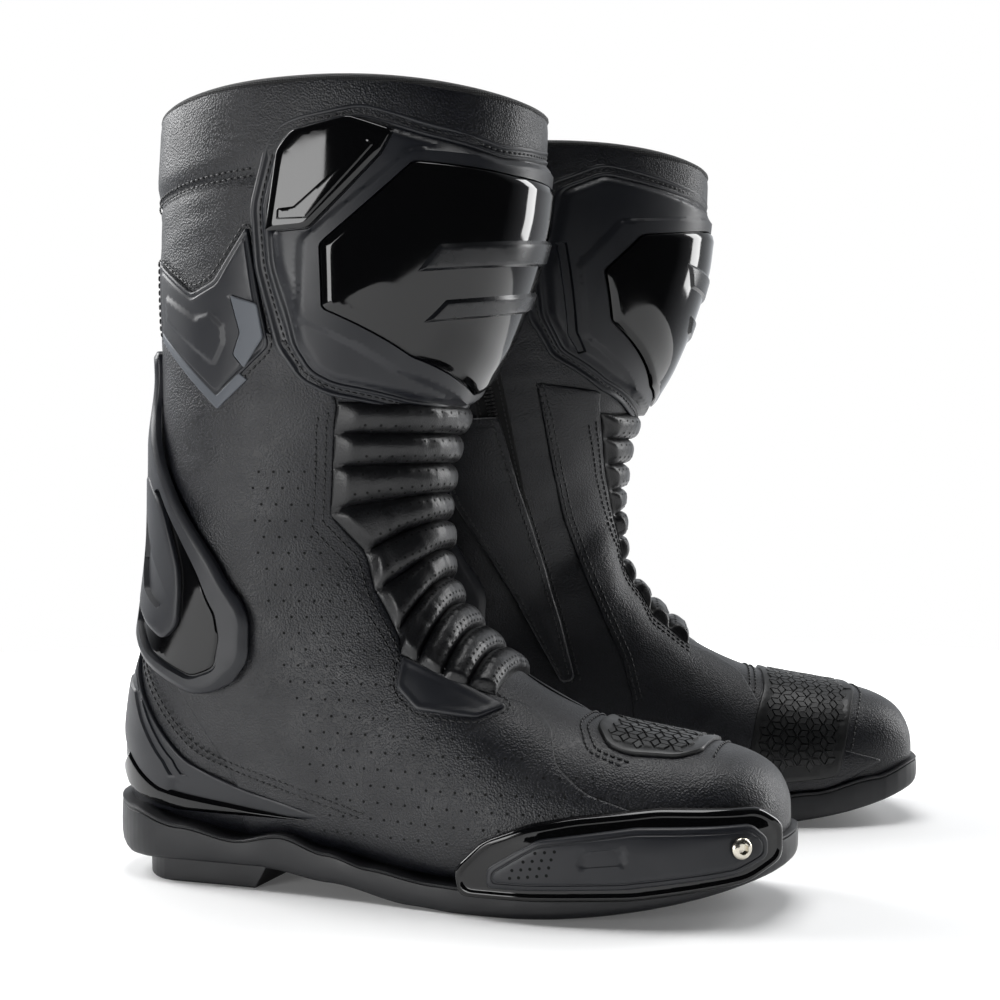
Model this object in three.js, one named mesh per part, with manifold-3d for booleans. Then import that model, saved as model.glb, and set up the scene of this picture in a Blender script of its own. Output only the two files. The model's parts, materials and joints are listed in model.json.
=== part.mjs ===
// Motorcycle riding boots, a pair, in millimetres, +Z up, toes towards +X.
// The right boot is built first, with its outer side towards -Y. The left boot is its mirror image,
// stands behind it and is turned toes-out. The origin is the middle of the pair's footprint.
import * as THREE from 'three';
import { mergeVertices } from 'three/addons/utils/BufferGeometryUtils.js';
import Module from 'manifold-3d';

const wasm = await Module();
wasm.setup();

// ---- driving dimensions, mm ----
const bootLength = 313; // heel to toe of the upper
const bootHeight = 352; // floor to the highest point of the collar
const ballWidth = 98; // upper across the ball of the foot
const leather = 2.6; // wall of the shaft leather
const footWall = 4.2; // foot leather with its bonded foam and lining
const lining = 3.6; // padded lining of the shaft
const soleRim = 3; // how far the sole stands out round the upper
const heelHeight = 10.5; // heel block under the sole
const plateThickness = 2.6; // moulded TPU plates
const insertThickness = 1.9; // gloss inserts on the plates
const braceThickness = 4; // ankle braces
const screwRadius = 4.2; // head of the toe slider's screw
const ribCount = 10; // padded ribs of the front accordion
const ribHeight = 4.5; // how far a rib swells
const boardThickness = 2; // insole board
const footbedThickness = 4;
const shankWidth = 14;
const shankThickness = 1.2;
const zipWidth = 16; // both tapes with the closed chain
const sliderLength = 12;
const pullLength = 20;
const leftTurn = 20; // degrees that the left boot is turned toes-out
const leftBehind = 183; // from the middle of the right boot to the middle of the left one
const leftAhead = 33.6;

// ---- clearances, mm ----
const gap = 0.4; // between pieces that touch
const skinGap = 1.2; // under a stiff plate that follows the foot's leather
const legGap = 1.7; // under a stiff plate that bends round the leg
const overPlate = 3.9; // the braces pass over the heel counter

// The patterns below are drawn for this size of boot, and graded to the driving dimensions.
const drawn = { length: 313, height: 352, width: 98 };
const gradeX = bootLength / drawn.length;
const gradeY = ballWidth / drawn.width;
const gradeZ = bootHeight / drawn.height;

// ---- the last: sections of the boot from the toe tip, round the ankle, up to the collar ----
// [front x, front z, back x, back z, half width outside, half width inside, middle y,
//  widest point from front to back, squareness of the front half, squareness of the back half]
const sections = [
  [311, 39, 311, 36, 1, 1, 9, 0.5, 2, 2],
  [309, 50, 309, 27, 17, 16, 9, 0.55, 2.2, 3],
  [302, 60, 302, 22, 29, 27, 8, 0.6, 2.3, 3.5],
  [287, 67, 286, 17, 40, 38, 6, 0.66, 2.3, 4],
  [263, 71, 261, 12, 47, 45, 4, 0.7, 2.3, 4],
  [228, 78, 222, 9, 51, 47, 1, 0.72, 2.2, 4],
  [199, 91, 192, 8.5, 51, 46, 0, 0.72, 2.2, 4],
  [175, 110, 162, 9.5, 48, 43, 0, 0.72, 2.2, 4],
  [159, 130, 130, 14, 44, 41, 0, 0.7, 2.2, 4],
  [155, 147, 88, 17, 41, 40, 0, 0.66, 2.2, 4],
  [155, 160, 45, 17, 40, 40, 0, 0.6, 2.2, 3.5],
  [154, 168, 14, 23, 40, 40, 0, 0.56, 2.2, 2.8],
  [155, 176, 3, 47, 41, 41, 0, 0.54, 2.2, 2.4],
  [157, 192, 5, 80, 43, 43, 0, 0.52, 2.2, 2.3],
  [161, 208, 15, 112, 46, 46, 0, 0.5, 2.2, 2.3],
  [167, 222, 21, 145, 49, 49, 0, 0.5, 2.2, 2.3],
  [176, 239, 23, 182, 53, 53, 0, 0.5, 2.2, 2.3],
  [186, 262, 23, 222, 57, 57, 0, 0.5, 2.2, 2.2],
  [195, 290, 22, 265, 61, 61, 0, 0.5, 2.2, 2.2],
  [200, 318, 23, 305, 63, 63, 0, 0.5, 2.2, 2.2],
  [202, 356, 26, 356, 64, 64, 0, 0.5, 2.2, 2.2],
];
const top = sections.length - 1;

function blend(t, a, b, c, d) {
  const t2 = t * t;
  return 0.5 * (2 * b + (c - a) * t + (2 * a - 5 * b + 4 * c - d) * t2 + (3 * b - a - 3 * c + d) * t2 * t);
}

// One section of the last, anywhere between the drawn ones.
function section(s) {
  const i = Math.min(Math.max(Math.floor(s), 0), top - 1);
  const near = [i - 1, i, i + 1, i + 2].map((k) => sections[Math.min(Math.max(k, 0), top)]);
  const v = near[0].map((_, k) => blend(s - i, near[0][k], near[1][k], near[2][k], near[3][k]));
  const [fx, fz, bx, bz, outside, inside, middle, widest, front, back] = v;
  return { fx, fz, bx, bz, outside, inside, middle, widest, front, back };
}

// A point of the last: s is the section, turn is 0 at the front or top, 90 inside, -90 outside.
function onLast(s, turn) {
  const k = section(s);
  const c = Math.cos(THREE.MathUtils.degToRad(turn));
  const q = Math.sin(THREE.MathUtils.degToRad(turn));
  const power = 2 / (c > 0 ? k.front : k.back);
  const along = k.widest - Math.abs(c) ** power * (c > 0 ? k.widest : k.widest - 1);
  const across = Math.sign(q) * Math.abs(q) ** power * (q > 0 ? k.inside : k.outside);
  return new THREE.Vector3(
    (k.fx + (k.bx - k.fx) * along) * gradeX,
    (k.middle + across) * gradeY,
    (k.fz + (k.bz - k.fz) * along) * gradeZ,
  );
}

// The same point, moved out of the surface by a height.
function offLast(s, turn, height) {
  const ds = 0.12;
  const low = Math.max(s - ds, 0.02);
  const high = Math.min(s + ds, top);
  const along = onLast(high, turn).sub(onLast(low, turn));
  const round = onLast(s, turn + 3).sub(onLast(s, turn - 3));
  const normal = round.cross(along).normalize();
  return onLast(s, turn).addScaledVector(normal, height);
}

// The value in [low, high] where f changes from negative to positive.
function root(f, low, high) {
  for (let i = 0; i < 40; i += 1) {
    const mid = (low + high) / 2;
    if (f(mid) < 0) low = mid;
    else high = mid;
  }
  return (low + high) / 2;
}

// ---- ways to lay a flat pattern on the boot; heights are above the leather ----
const ankleSection = 8;
const sectionAt = (turn, z) => root((s) => onLast(s, turn).z - z * gradeZ, ankleSection, top);
// Round the leg: the pattern is drawn in degrees round the leg and mm above the floor.
const roundLeg = (turn, z, height) => offLast(sectionAt(turn, z), turn, height);
// Over the foot: the pattern is drawn in mm along the boot and degrees round the foot.
const overFoot = (x, turn, height) => offLast(root((s) => x - section(s).fx, 0, ankleSection), turn, height);

// On one side: the pattern is drawn in mm along and above the floor, as seen from that side.
function onSide(x, z, height, side) {
  const s = root((t) => {
    const k = section(t);
    return (k.bx - k.fx) * (z - k.fz) - (k.bz - k.fz) * (x - k.fx);
  }, 0.5, top);
  const k = section(s);
  const [ux, uz] = [k.bx - k.fx, k.bz - k.fz];
  const share = ((x - k.fx) * ux + (z - k.fz) * uz) / (ux * ux + uz * uz);
  const ahead = share < k.widest;
  const reach = Math.min(Math.abs(share - k.widest) / (ahead ? k.widest : 1 - k.widest), 0.999);
  const c = reach ** ((ahead ? k.front : k.back) / 2);
  const turn = THREE.MathUtils.radToDeg(Math.acos(ahead ? c : -c));
  return offLast(s, turn * side, height);
}
const inside = 1;
const outside = -1;

// ---- flat patterns ----
// An outline whose corners are rounded to a radius.
function outline(points, radius) {
  const corners = points.map(([a, b]) => new THREE.Vector2(a, b));
  const shape = new THREE.Shape();
  corners.forEach((p, i) => {
    const before = corners[(i + corners.length - 1) % corners.length];
    const after = corners[(i + 1) % corners.length];
    const cut = (q) => p.clone().lerp(q, Math.min(radius / p.distanceTo(q), 0.45));
    const [a, b] = [cut(before), cut(after)];
    if (i === 0) shape.moveTo(a.x, a.y);
    else shape.lineTo(a.x, a.y);
    shape.quadraticCurveTo(p.x, p.y, b.x, b.y);
  });
  shape.closePath();
  return shape;
}

function solidOf(geometry) {
  const bare = geometry.index ? geometry.toNonIndexed() : geometry.clone();
  bare.deleteAttribute('normal');
  bare.deleteAttribute('uv');
  const merged = mergeVertices(bare, 1e-4);
  const vertProperties = new Float32Array(merged.attributes.position.array);
  const triVerts = new Uint32Array(merged.index.array);
  return new wasm.Manifold(new wasm.Mesh({ numProp: 3, vertProperties, triVerts }));
}

function geometryOf(solid) {
  const mesh = solid.getMesh();
  const geometry = new THREE.BufferGeometry();
  const position = new Float32Array(mesh.numVert * 3);
  for (let i = 0; i < mesh.numVert; i += 1) {
    for (let k = 0; k < 3; k += 1) position[i * 3 + k] = mesh.vertProperties[i * mesh.numProp + k];
  }
  geometry.setAttribute('position', new THREE.BufferAttribute(position, 3));
  geometry.setIndex(Array.from(mesh.triVerts));
  return geometry;
}

// A flat slab of a pattern, between two heights. A way of laying it has the mm for each of the
// pattern's units, the longest straight step that may bend, and the function that lays it on the boot.
function slab(points, radius, low, high, way) {
  const shape = outline(points.map(([a, b]) => [a * way.scale[0], b * way.scale[1]]), radius);
  const corners = shape.getPoints(2).slice(0, -1);
  const edge = corners.flatMap((p, i) => {
    const next = corners[(i + 1) % corners.length];
    const parts = Math.ceil(p.distanceTo(next) / way.step);
    return Array.from({ length: parts }, (_, k) => p.clone().lerp(next, k / parts));
  });
  const geometry = new THREE.ExtrudeGeometry(new THREE.Shape(edge), { depth: high - low, bevelEnabled: false });
  return indexed(geometry.translate(0, 0, low));
}

function indexed(geometry) {
  geometry.deleteAttribute('normal');
  geometry.deleteAttribute('uv');
  return mergeVertices(geometry, 1e-4);
}

// Swaps the shared edge of two triangles of a slab's face where the other diagonal is the better one.
function swapEdges(position, index) {
  const xy = (i) => [position[i * 3], position[i * 3 + 1]];
  const level = (t) => {
    const [a, b, c] = [0, 1, 2].map((k) => position[index[t + k] * 3 + 2]);
    return a === b && b === c ? a : null;
  };
  const area = (i, j, k) => {
    const [[ax, ay], [bx, by], [cx, cy]] = [xy(i), xy(j), xy(k)];
    return (bx - ax) * (cy - ay) - (by - ay) * (cx - ax);
  };
  const angle = (i, j, k) => {
    const [[ax, ay], [bx, by], [cx, cy]] = [xy(i), xy(j), xy(k)];
    const [ux, uy, vx, vy] = [bx - ax, by - ay, cx - ax, cy - ay];
    return Math.atan2(Math.abs(ux * vy - uy * vx), ux * vx + uy * vy);
  };
  for (let round = 0; round < 40; round += 1) {
    const owner = new Map();
    for (let t = 0; t < index.length; t += 3) {
      for (let k = 0; k < 3; k += 1) owner.set(`${index[t + k]},${index[t + ((k + 1) % 3)]}`, t);
    }
    const used = new Set();
    for (let t = 0; t < index.length; t += 3) {
      const height = level(t);
      for (let k = 0; k < 3 && height !== null && !used.has(t); k += 1) {
        const [a, b, c] = [0, 1, 2].map((m) => index[t + ((k + m) % 3)]);
        const other = owner.get(`${b},${a}`);
        if (used.has(other) || level(other) !== height) continue;
        const d = [0, 1, 2].map((m) => index[other + m]).find((i) => i !== a && i !== b);
        const way = Math.sign(area(a, b, c));
        const sound = area(a, d, c) * way > 0.01 && area(d, b, c) * way > 0.01;
        if (!sound || angle(c, a, b) + angle(d, a, b) < Math.PI + 0.01) continue;
        [index[t], index[t + 1], index[t + 2]] = [a, d, c];
        [index[other], index[other + 1], index[other + 2]] = [d, b, c];
        used.add(t).add(other);
      }
    }
    if (!used.size) break;
  }
}

// Adds a grid of points to the faces of a slab, so that it can bend.
function fillFaces(geometry, step) {
  const position = Array.from(geometry.attributes.position.array);
  const index = Array.from(geometry.index.array);
  const xy = (i) => [position[i * 3], position[i * 3 + 1]];
  const level = (t) => position[index[t] * 3 + 2];
  const isFlat = (t) => level(t) === position[index[t + 1] * 3 + 2] && level(t) === position[index[t + 2] * 3 + 2];
  const outlineEdges = [];
  for (let t = 0; t < index.length; t += 3) {
    for (let k = 0; k < 3 && !isFlat(t); k += 1) {
      const [a, b] = [index[t + k], index[t + ((k + 1) % 3)]];
      if (position[a * 3 + 2] === position[b * 3 + 2]) outlineEdges.push([xy(a), xy(b)]);
    }
  }
  const clear = (x, y) => outlineEdges.every(([[ax, ay], [bx, by]]) => {
    const [ux, uy] = [bx - ax, by - ay];
    const along = Math.min(Math.max(((x - ax) * ux + (y - ay) * uy) / (ux * ux + uy * uy), 0), 1);
    return Math.hypot(x - ax - ux * along, y - ay - uy * along) > step * 0.4;
  });
  const box = new THREE.Box3().setFromBufferAttribute(geometry.attributes.position);
  const rowStep = step * 0.87;
  for (let row = 0; box.min.y + row * rowStep < box.max.y; row += 1) {
    const y = box.min.y + (row + 0.5) * rowStep;
    for (let x = box.min.x + (row % 2 ? 0.25 : 0.75) * step; x < box.max.x; x += step) {
      if (clear(x, y)) addPoint(position, index, isFlat, x, y);
    }
  }
  swapEdges(position, index);
  const filled = new THREE.BufferGeometry();
  filled.setAttribute('position', new THREE.BufferAttribute(new Float32Array(position), 3));
  filled.setIndex(index);
  return filled;
}

// Puts one point into every flat triangle that holds it: one on each face of the slab.
function addPoint(position, index, isFlat, x, y) {
  const side = (i, j) => {
    const [ax, ay, bx, by] = [position[i * 3], position[i * 3 + 1], position[j * 3], position[j * 3 + 1]];
    return (bx - ax) * (y - ay) - (by - ay) * (x - ax);
  };
  const count = index.length;
  for (let t = 0; t < count; t += 3) {
    if (!isFlat(t)) continue;
    const [a, b, c] = index.slice(t, t + 3);
    const sides = [side(a, b), side(b, c), side(c, a)];
    if (!sides.every((v) => v > 1e-6) && !sides.every((v) => v < -1e-6)) continue;
    const made = position.push(x, y, position[a * 3 + 2]) / 3 - 1;
    index[t + 2] = made;
    index.push(b, c, made, c, a, made);
  }
}

// Bends a flat solid onto the boot.
function bend(flat, way) {
  const geometry = fillFaces(flat, way.step);
  const position = geometry.attributes.position;
  for (let i = 0; i < position.count; i += 1) {
    const p = way.lay(position.getX(i) / way.scale[0], position.getY(i) / way.scale[1], position.getZ(i));
    position.setXYZ(i, p.x, p.y, p.z);
  }
  return facingOut(geometry);
}

// Turns a closed mesh so that its faces point out.
function facingOut(geometry) {
  const { position } = geometry.attributes;
  const index = Array.from(geometry.index.array);
  const [a, b, c] = [new THREE.Vector3(), new THREE.Vector3(), new THREE.Vector3()];
  let volume = 0;
  for (let t = 0; t < index.length; t += 3) {
    a.fromBufferAttribute(position, index[t]);
    b.fromBufferAttribute(position, index[t + 1]);
    c.fromBufferAttribute(position, index[t + 2]);
    volume += a.dot(b.cross(c));
  }
  if (volume < 0) {
    for (let t = 0; t < index.length; t += 3) [index[t], index[t + 1]] = [index[t + 1], index[t]];
    geometry.setIndex(index);
  }
  return geometry;
}

// ---- grids: a closed solid from two sheets of rows x columns of points ----
// closed: the columns go all the way round. pole: the first row is a single point.
function gridSolid(rows, columns, outer, inner, { closed = false, pole = false } = {}) {
  const points = [];
  const index = [];
  const sheets = [outer, inner].map((sheet) => {
    const grid = [];
    for (let i = 0; i <= rows; i += 1) {
      grid.push([]);
      for (let j = 0; j <= columns; j += 1) {
        if (pole && i === 0 && j > 0) grid[i].push(grid[i][0]);
        else if (closed && j === columns) grid[i].push(grid[i][0]);
        else grid[i].push(points.push(sheet(i / rows, j / columns)) - 1);
      }
    }
    return grid;
  });
  const face = (a, b, c, d) => {
    if (a !== b && b !== c && a !== c) index.push(a, b, c);
    if (a !== c && c !== d && a !== d) index.push(a, c, d);
  };
  const [o, n] = sheets;
  for (let i = 0; i < rows; i += 1) {
    for (let j = 0; j < columns; j += 1) {
      face(o[i][j], o[i][j + 1], o[i + 1][j + 1], o[i + 1][j]);
      face(n[i][j], n[i + 1][j], n[i + 1][j + 1], n[i][j + 1]);
    }
    if (!closed) {
      face(o[i][0], o[i + 1][0], n[i + 1][0], n[i][0]);
      face(o[i][columns], n[i][columns], n[i + 1][columns], o[i + 1][columns]);
    }
  }
  for (let j = 0; j < columns; j += 1) {
    if (!pole) face(o[0][j], n[0][j], n[0][j + 1], o[0][j + 1]);
    face(o[rows][j], o[rows][j + 1], n[rows][j + 1], n[rows][j]);
  }
  const geometry = new THREE.BufferGeometry();
  const flat = points.flatMap((p) => [p.x, p.y, p.z]);
  geometry.setAttribute('position', new THREE.BufferAttribute(new Float32Array(flat), 3));
  geometry.setIndex(index);
  return facingOut(geometry);
}

const around = 24; // columns of the leather shells
const turnOf = (v) => 180 - v * 360; // starts at the back, so that the seam is there

// A shell that follows the last between two edges; each edge gives a section for each turn.
function shell(from, to, rows, high, low, pole = false) {
  const sheet = (height, inset) => (u, v) => {
    const turn = turnOf(v);
    const [a, b] = [from(turn) + inset, to(turn)];
    return offLast(a + (b - a) * u, turn, height);
  };
  return gridSolid(rows, around, sheet(high, 0), sheet(low, pole ? low / -12 : 0), { closed: true, pole });
}

// ---- where the boot bends ----
const pivot = { x: 72, z: 100 }; // the ankle's axis, through the brace
// An edge across the boot, drawn from the side as a line of [x, z] points.
function lineAt(points, x) {
  let i = 0;
  while (i < points.length - 2 && x > points[i + 1][0]) i += 1;
  const [[x0, z0], [x1, z1]] = [points[i], points[i + 1]];
  return z0 + ((z1 - z0) * (x - x0)) / (x1 - x0);
}
const footEdgeLine = [[0, 104], [pivot.x, pivot.z - 8], [172, 116]];
const shaftEdgeLine = [[0, 128], [pivot.x, pivot.z + 14], [165, 178]];
function crossing(line, lift) {
  return (turn) => root((s) => {
    const p = onLast(s, turn);
    return p.z - lift - lineAt(line, p.x / gradeX) * gradeZ;
  }, 5, 17);
}
const footEdge = crossing(footEdgeLine, 0);
const shaftEdge = crossing(shaftEdgeLine, 0);
const toeTip = () => 0;

// The collar's rim rises at the sides.
const rimBack = 344;
const rimRise = 8;
const rimHeight = (turn) => rimBack + rimRise * Math.sin(THREE.MathUtils.degToRad(turn)) ** 2;
const rimAt = (drop) => (turn) => sectionAt(turn, rimHeight(turn) - drop);

// ---- smooth heights along the boot ----
function heightAlong(points, x) {
  let i = 0;
  while (i < points.length - 2 && x > points[i + 1][0]) i += 1;
  const [[x0, z0], [x1, z1]] = [points[i], points[i + 1]];
  const t = Math.min(Math.max((x - x0) / (x1 - x0), 0), 1);
  return z0 + (z1 - z0) * t * t * (3 - 2 * t);
}

// ---- materials ----
const finishes = {
  leather: { color: 0x17181a, roughness: 0.55, metalness: 0 },
  mattePlastic: { color: 0x1d1e20, roughness: 0.6, metalness: 0 },
  glossPlastic: { color: 0x08090b, roughness: 0.12, metalness: 0 },
  rubber: { color: 0x1a1a1b, roughness: 0.8, metalness: 0 },
  steel: { color: 0xc9c4b8, roughness: 0.25, metalness: 1 },
  reflective: { color: 0x8f9296, roughness: 0.35, metalness: 0.2 },
  textile: { color: 0x141416, roughness: 0.95, metalness: 0 },
  board: { color: 0x3a3128, roughness: 0.9, metalness: 0 },
};

// ---- the sole ----
const heelFront = 88;
const heelBack = 17;
const breastSlope = 6;
const treadLine = [[heelFront, heelHeight - 0.5], [120, 6.5], [160, 1], [182, 0], [212, 0]];
const toeSpring = 16; // rise of the tread 100 mm ahead of the ball
const soleTopLine = [[0, 36], [20, 33], [45, 27], [74, 22], [96, 26], [119, 20], [140, 15.5], [171, 12],
  [192, 11.5], [220, 13.5], [250, 18.5], [285, 26], [312, 33]];
const springStart = 200;

function treadHeight(x) {
  if (x < heelFront) return heelHeight + Math.max(0, heelBack - x) * 0.25;
  const rise = Math.max(0, x - springStart) / 100;
  return heightAlong(treadLine, x) * (heelHeight / 10.5) + toeSpring * rise * rise;
}

// The sole's edge stands out evenly round the upper's plan; the heel end is round.
const lowSection = (x) => root((s) => x - section(s).bx, 0.5, 12.4);
const soleBack = -0.5;
const soleFront = 313.9;
const heelRound = 38;
const toeStart = 200;
function toeEdge(s, side) {
  const at = (t) => {
    const k = section(t);
    return new THREE.Vector2(k.fx + (k.bx - k.fx) * k.widest, k.middle + side * (side > 0 ? k.inside : k.outside));
  };
  const here = at(s);
  const back = at(s + 0.05).sub(here).normalize();
  return here.add(new THREE.Vector2(side * back.y, -side * back.x).multiplyScalar(soleRim / gradeY));
}
function soleEdge(x, side) {
  if (x > toeStart) return toeEdge(root((s) => x - toeEdge(s, side).x, 0.01, 7), side).y;
  const k = section(lowSection(x));
  const back = 1 - Math.min((x - soleBack) / heelRound, 1);
  const round = Math.max(Math.sqrt(1 - back ** 2), 0.06);
  return k.middle + side * ((side > 0 ? k.inside : k.outside) + soleRim / gradeY) * round;
}

// Places along the boot, closer together at both ends.
function soleStops(from, to, count) {
  return Array.from({ length: count + 1 }, (_, i) => from + (to - from) * (0.5 - 0.5 * Math.cos((Math.PI * i) / count)));
}

function crossSlab(stops, ring) {
  const rings = stops.map(ring);
  const columns = rings[0].length;
  const points = rings.flat();
  const index = [];
  for (let i = 0; i < stops.length - 1; i += 1) {
    for (let j = 0; j < columns; j += 1) {
      const [a, b] = [i * columns + j, i * columns + ((j + 1) % columns)];
      index.push(a, b, b + columns, a, b + columns, a + columns);
    }
  }
  const last = (stops.length - 1) * columns;
  for (let j = 1; j < columns - 1; j += 1) {
    index.push(0, j + 1, j, last, last + j, last + j + 1);
  }
  const geometry = new THREE.BufferGeometry();
  geometry.setAttribute('position', new THREE.BufferAttribute(new Float32Array(points.flat()), 3));
  geometry.setIndex(index);
  return facingOut(geometry);
}

const edgeTuck = 4; // the sole's side leans in towards the tread
function soleRing(x) {
  const [y0, y1] = [soleEdge(x, outside), soleEdge(x, inside)];
  const [low, high] = [treadHeight(x), heightAlong(soleTopLine, x)];
  const tuck = Math.min(edgeTuck, (y1 - y0) * 0.2);
  const bulge = low + (high - low) * 0.45;
  return [[y0 + tuck, low], [y1 - tuck, low], [y1, bulge], [y1 - 0.4, high], [y0 + 0.4, high], [y0, bulge]]
    .map(([y, z]) => [x * gradeX, y * gradeY, z * gradeZ]);
}

function outsole() {
  const seat = solidOf(blockOf(footRows, gap));
  const body = solidOf(crossSlab(soleStops(soleBack, soleFront, 26), soleRing));
  const slot = solidOf(shankPath(shankWidth + 2 * gap, -gap, shankThickness + gap + 3));
  return geometryOf(body.subtract(seat).subtract(slot));
}

// A closed block of the upper's outside up to the ankle edge, capped flat.
const footRows = 13;
function blockOf(rows, clearance) {
  const points = [offLast(0, 0, clearance)];
  const index = [];
  for (let i = 1; i <= rows; i += 1) {
    for (let j = 0; j < around; j += 1) {
      const turn = turnOf(j / around);
      points.push(offLast((footEdge(turn) * i) / rows, turn, clearance));
    }
  }
  const at = (i, j) => 1 + (i - 1) * around + (j % around);
  for (let j = 0; j < around; j += 1) {
    index.push(0, at(1, j), at(1, j + 1));
    for (let i = 1; i < rows; i += 1) {
      index.push(at(i, j), at(i + 1, j + 1), at(i, j + 1), at(i, j), at(i + 1, j), at(i + 1, j + 1));
    }
    const cap = points.length;
    index.push(cap, at(rows, j + 1), at(rows, j));
  }
  const rim = points.slice(at(rows, 0));
  points.push(rim.reduce((sum, p) => sum.addScaledVector(p, 1 / rim.length), new THREE.Vector3()));
  const geometry = new THREE.BufferGeometry();
  const flat = points.flatMap((p) => [p.x, p.y, p.z]);
  geometry.setAttribute('position', new THREE.BufferAttribute(new Float32Array(flat), 3));
  geometry.setIndex(index);
  return facingOut(geometry);
}

// The steel shank: a strip under the waist, let into the sole's top.
const shankBack = 40;
const shankFront = 150;
function shankPath(width, low, high) {
  const ring = (x) => {
    const z = (onLast(lowSection(x), 180).z) - shankThickness - 2 * gap;
    return [[-1, low], [1, low], [1, high], [-1, high]].map(([y, h]) => [x * gradeX, (y * width) / 2, z + h]);
  };
  const spare = low < 0 ? gap : 0;
  return crossSlab(soleStops(shankBack - spare, shankFront + spare, 8), ring);
}

function heelBlock() {
  const inset = 5;
  const ring = (x) => {
    const round = Math.sqrt(1 - (1 - Math.min((x - heelBack + 1.5) / 26, 1)) ** 2);
    const [y0, y1] = [outside, inside].map((side) => (soleEdge(Math.max(x, heelRound), side) - side * inset) * round);
    const lean = Math.max(0, x - heelFront + 12) / 12;
    const high = heelHeight * gradeZ - gap;
    return [[y0, 0, lean], [y1, 0, lean], [y1 + 0.8, high, 0], [y0 - 0.8, high, 0]]
      .map(([y, z, k]) => [(x - k * breastSlope) * gradeX, y * gradeY, z]);
  };
  return crossSlab(soleStops(heelBack, heelFront - 1, 10), ring);
}

// ---- inside the foot ----
// A layer across the foot's floor, between two heights above the lining, from the heel to the toe.
const floorFront = 2.4; // sections of the last where the layers end
const floorBack = 10.7;
const floorShare = 0.6; // of the foot's half width
function floorLayer(low, high) {
  const stops = soleStops(floorFront, floorBack, 12);
  const ring = (s) => {
    const round = Math.min(1, (s - floorFront) * 0.9 + 0.55, (floorBack - s) * 0.9 + 0.5);
    const bend = THREE.MathUtils.radToDeg(Math.asin((floorShare * round) ** (section(s).back / 2)));
    const [out, inn] = [outside, inside].map((side) => offLast(s, side * (180 - bend), -footWall));
    return [[out, low], [inn, low], [inn, high], [out, high]].map(([p, h]) => [p.x, p.y, p.z + h]);
  };
  return crossSlab(stops, ring);
}
const boardLow = 3.2;
const boardHigh = boardLow + boardThickness;
const bedLow = boardHigh + gap;
const bedHigh = bedLow + footbedThickness;

// The toe puff: a stiff cap under the toe leather, open below.
function toePuff() {
  const reach = 3.4;
  const start = 0.9;
  const sheet = (height) => (u, v) => offLast(start + (reach - start) * u, -98 + 196 * v, height);
  const high = -footWall - skinGap;
  return gridSolid(4, 10, sheet(high), sheet(high - 1.4));
}

// ---- plates laid on the boot ----
// The leg is nearly straight upwards, so its patterns are flattened there while they are flat.
const onLeg = { scale: [1.2, 0.7], step: 18, lay: roundLeg };
const onFoot = { scale: [1, 0.85], step: 16, lay: overFoot };
const outsideWall = { scale: [1, 1], step: 15, lay: (x, z, height) => onSide(x, z, height, outside) };
const insideWall = { scale: [1, 1], step: 15, lay: (x, z, height) => onSide(x, z, height, inside) };
const layOn = (way, points, radius, low, high) => bend(slab(points, radius, low, high, way), way);
const plateHigh = legGap + plateThickness;

const shinOutline = [[-72, 339], [-91, 334], [-96, 326], [-100, 298], [-98, 272], [-91, 237], [-84, 224],
  [-74, 218], [-40, 211], [0, 208], [32, 216], [60, 227], [84, 243], [92, 262], [95, 288], [91, 330],
  [74, 341], [40, 333], [0, 326], [-24, 324], [-52, 331]];
const insertOutline = [[-56, 314], [-80, 281], [-78, 255], [-46, 236], [0, 222], [30, 232], [64, 262],
  [70, 287], [58, 305], [20, 311], [-20, 311]];
const cornerOutline = [[-92, 320], [-89, 328], [-75, 333], [-63, 327], [-66, 318], [-84, 288], [-94, 287]];

const insertLow = plateHigh + legGap;
const insertHigh = insertLow + insertThickness;

// ---- calf panel with its reflective strip, on the outside ----
const calfOutline = [[36, 279], [60, 263], [73, 268], [91, 290], [95, 262], [99, 239], [72, 217], [36, 247]];
const stripOutline = [[82, 261], [95, 257], [97, 243], [87, 230], [82, 236], [86, 245]];
const calfHigh = skinGap + 1.6;
const stripLow = calfHigh + 0.8;

// ---- ankle braces ----
const braceOutline = [[-150, 240], [-154, 214], [-141, 187], [-121, 156], [-93, 134], [-85, 121], [-85, 103],
  [-92, 88], [-101, 86], [-124, 97], [-148, 110], [-158, 130], [-163, 155], [-170, 190], [-172, 240]];
const loopOutline = [[-138, 176], [-114, 147], [-96, 127], [-94, 108], [-102, 98], [-124, 107], [-146, 119],
  [-151, 140], [-152, 166]];
const braceHigh = overPlate + braceThickness;
const pocket = braceThickness / 2; // depth of the brace's loop
const loopInset = 1.8;
const mirrorTurn = (points) => points.map(([a, b]) => [-a, b]);
const shrink = (points, amount) => {
  const middle = points.reduce(([x, z], [a, b]) => [x + a / points.length, z + b / points.length], [0, 0]);
  return points.map(([a, b]) => {
    const [dx, dz] = [(a - middle[0]) * onLeg.scale[0], b - middle[1]];
    const k = 1 - amount / Math.hypot(dx, dz);
    return [middle[0] + (dx * k) / onLeg.scale[0], middle[1] + dz * k];
  });
};

function ankleBrace(points, loop) {
  const body = solidOf(slab(points, 6, overPlate, braceHigh, onLeg));
  const cut = solidOf(slab(loop, 4, braceHigh - pocket, braceHigh + 1, onLeg));
  return bend(geometryOf(body.subtract(cut)), onLeg);
}

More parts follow.
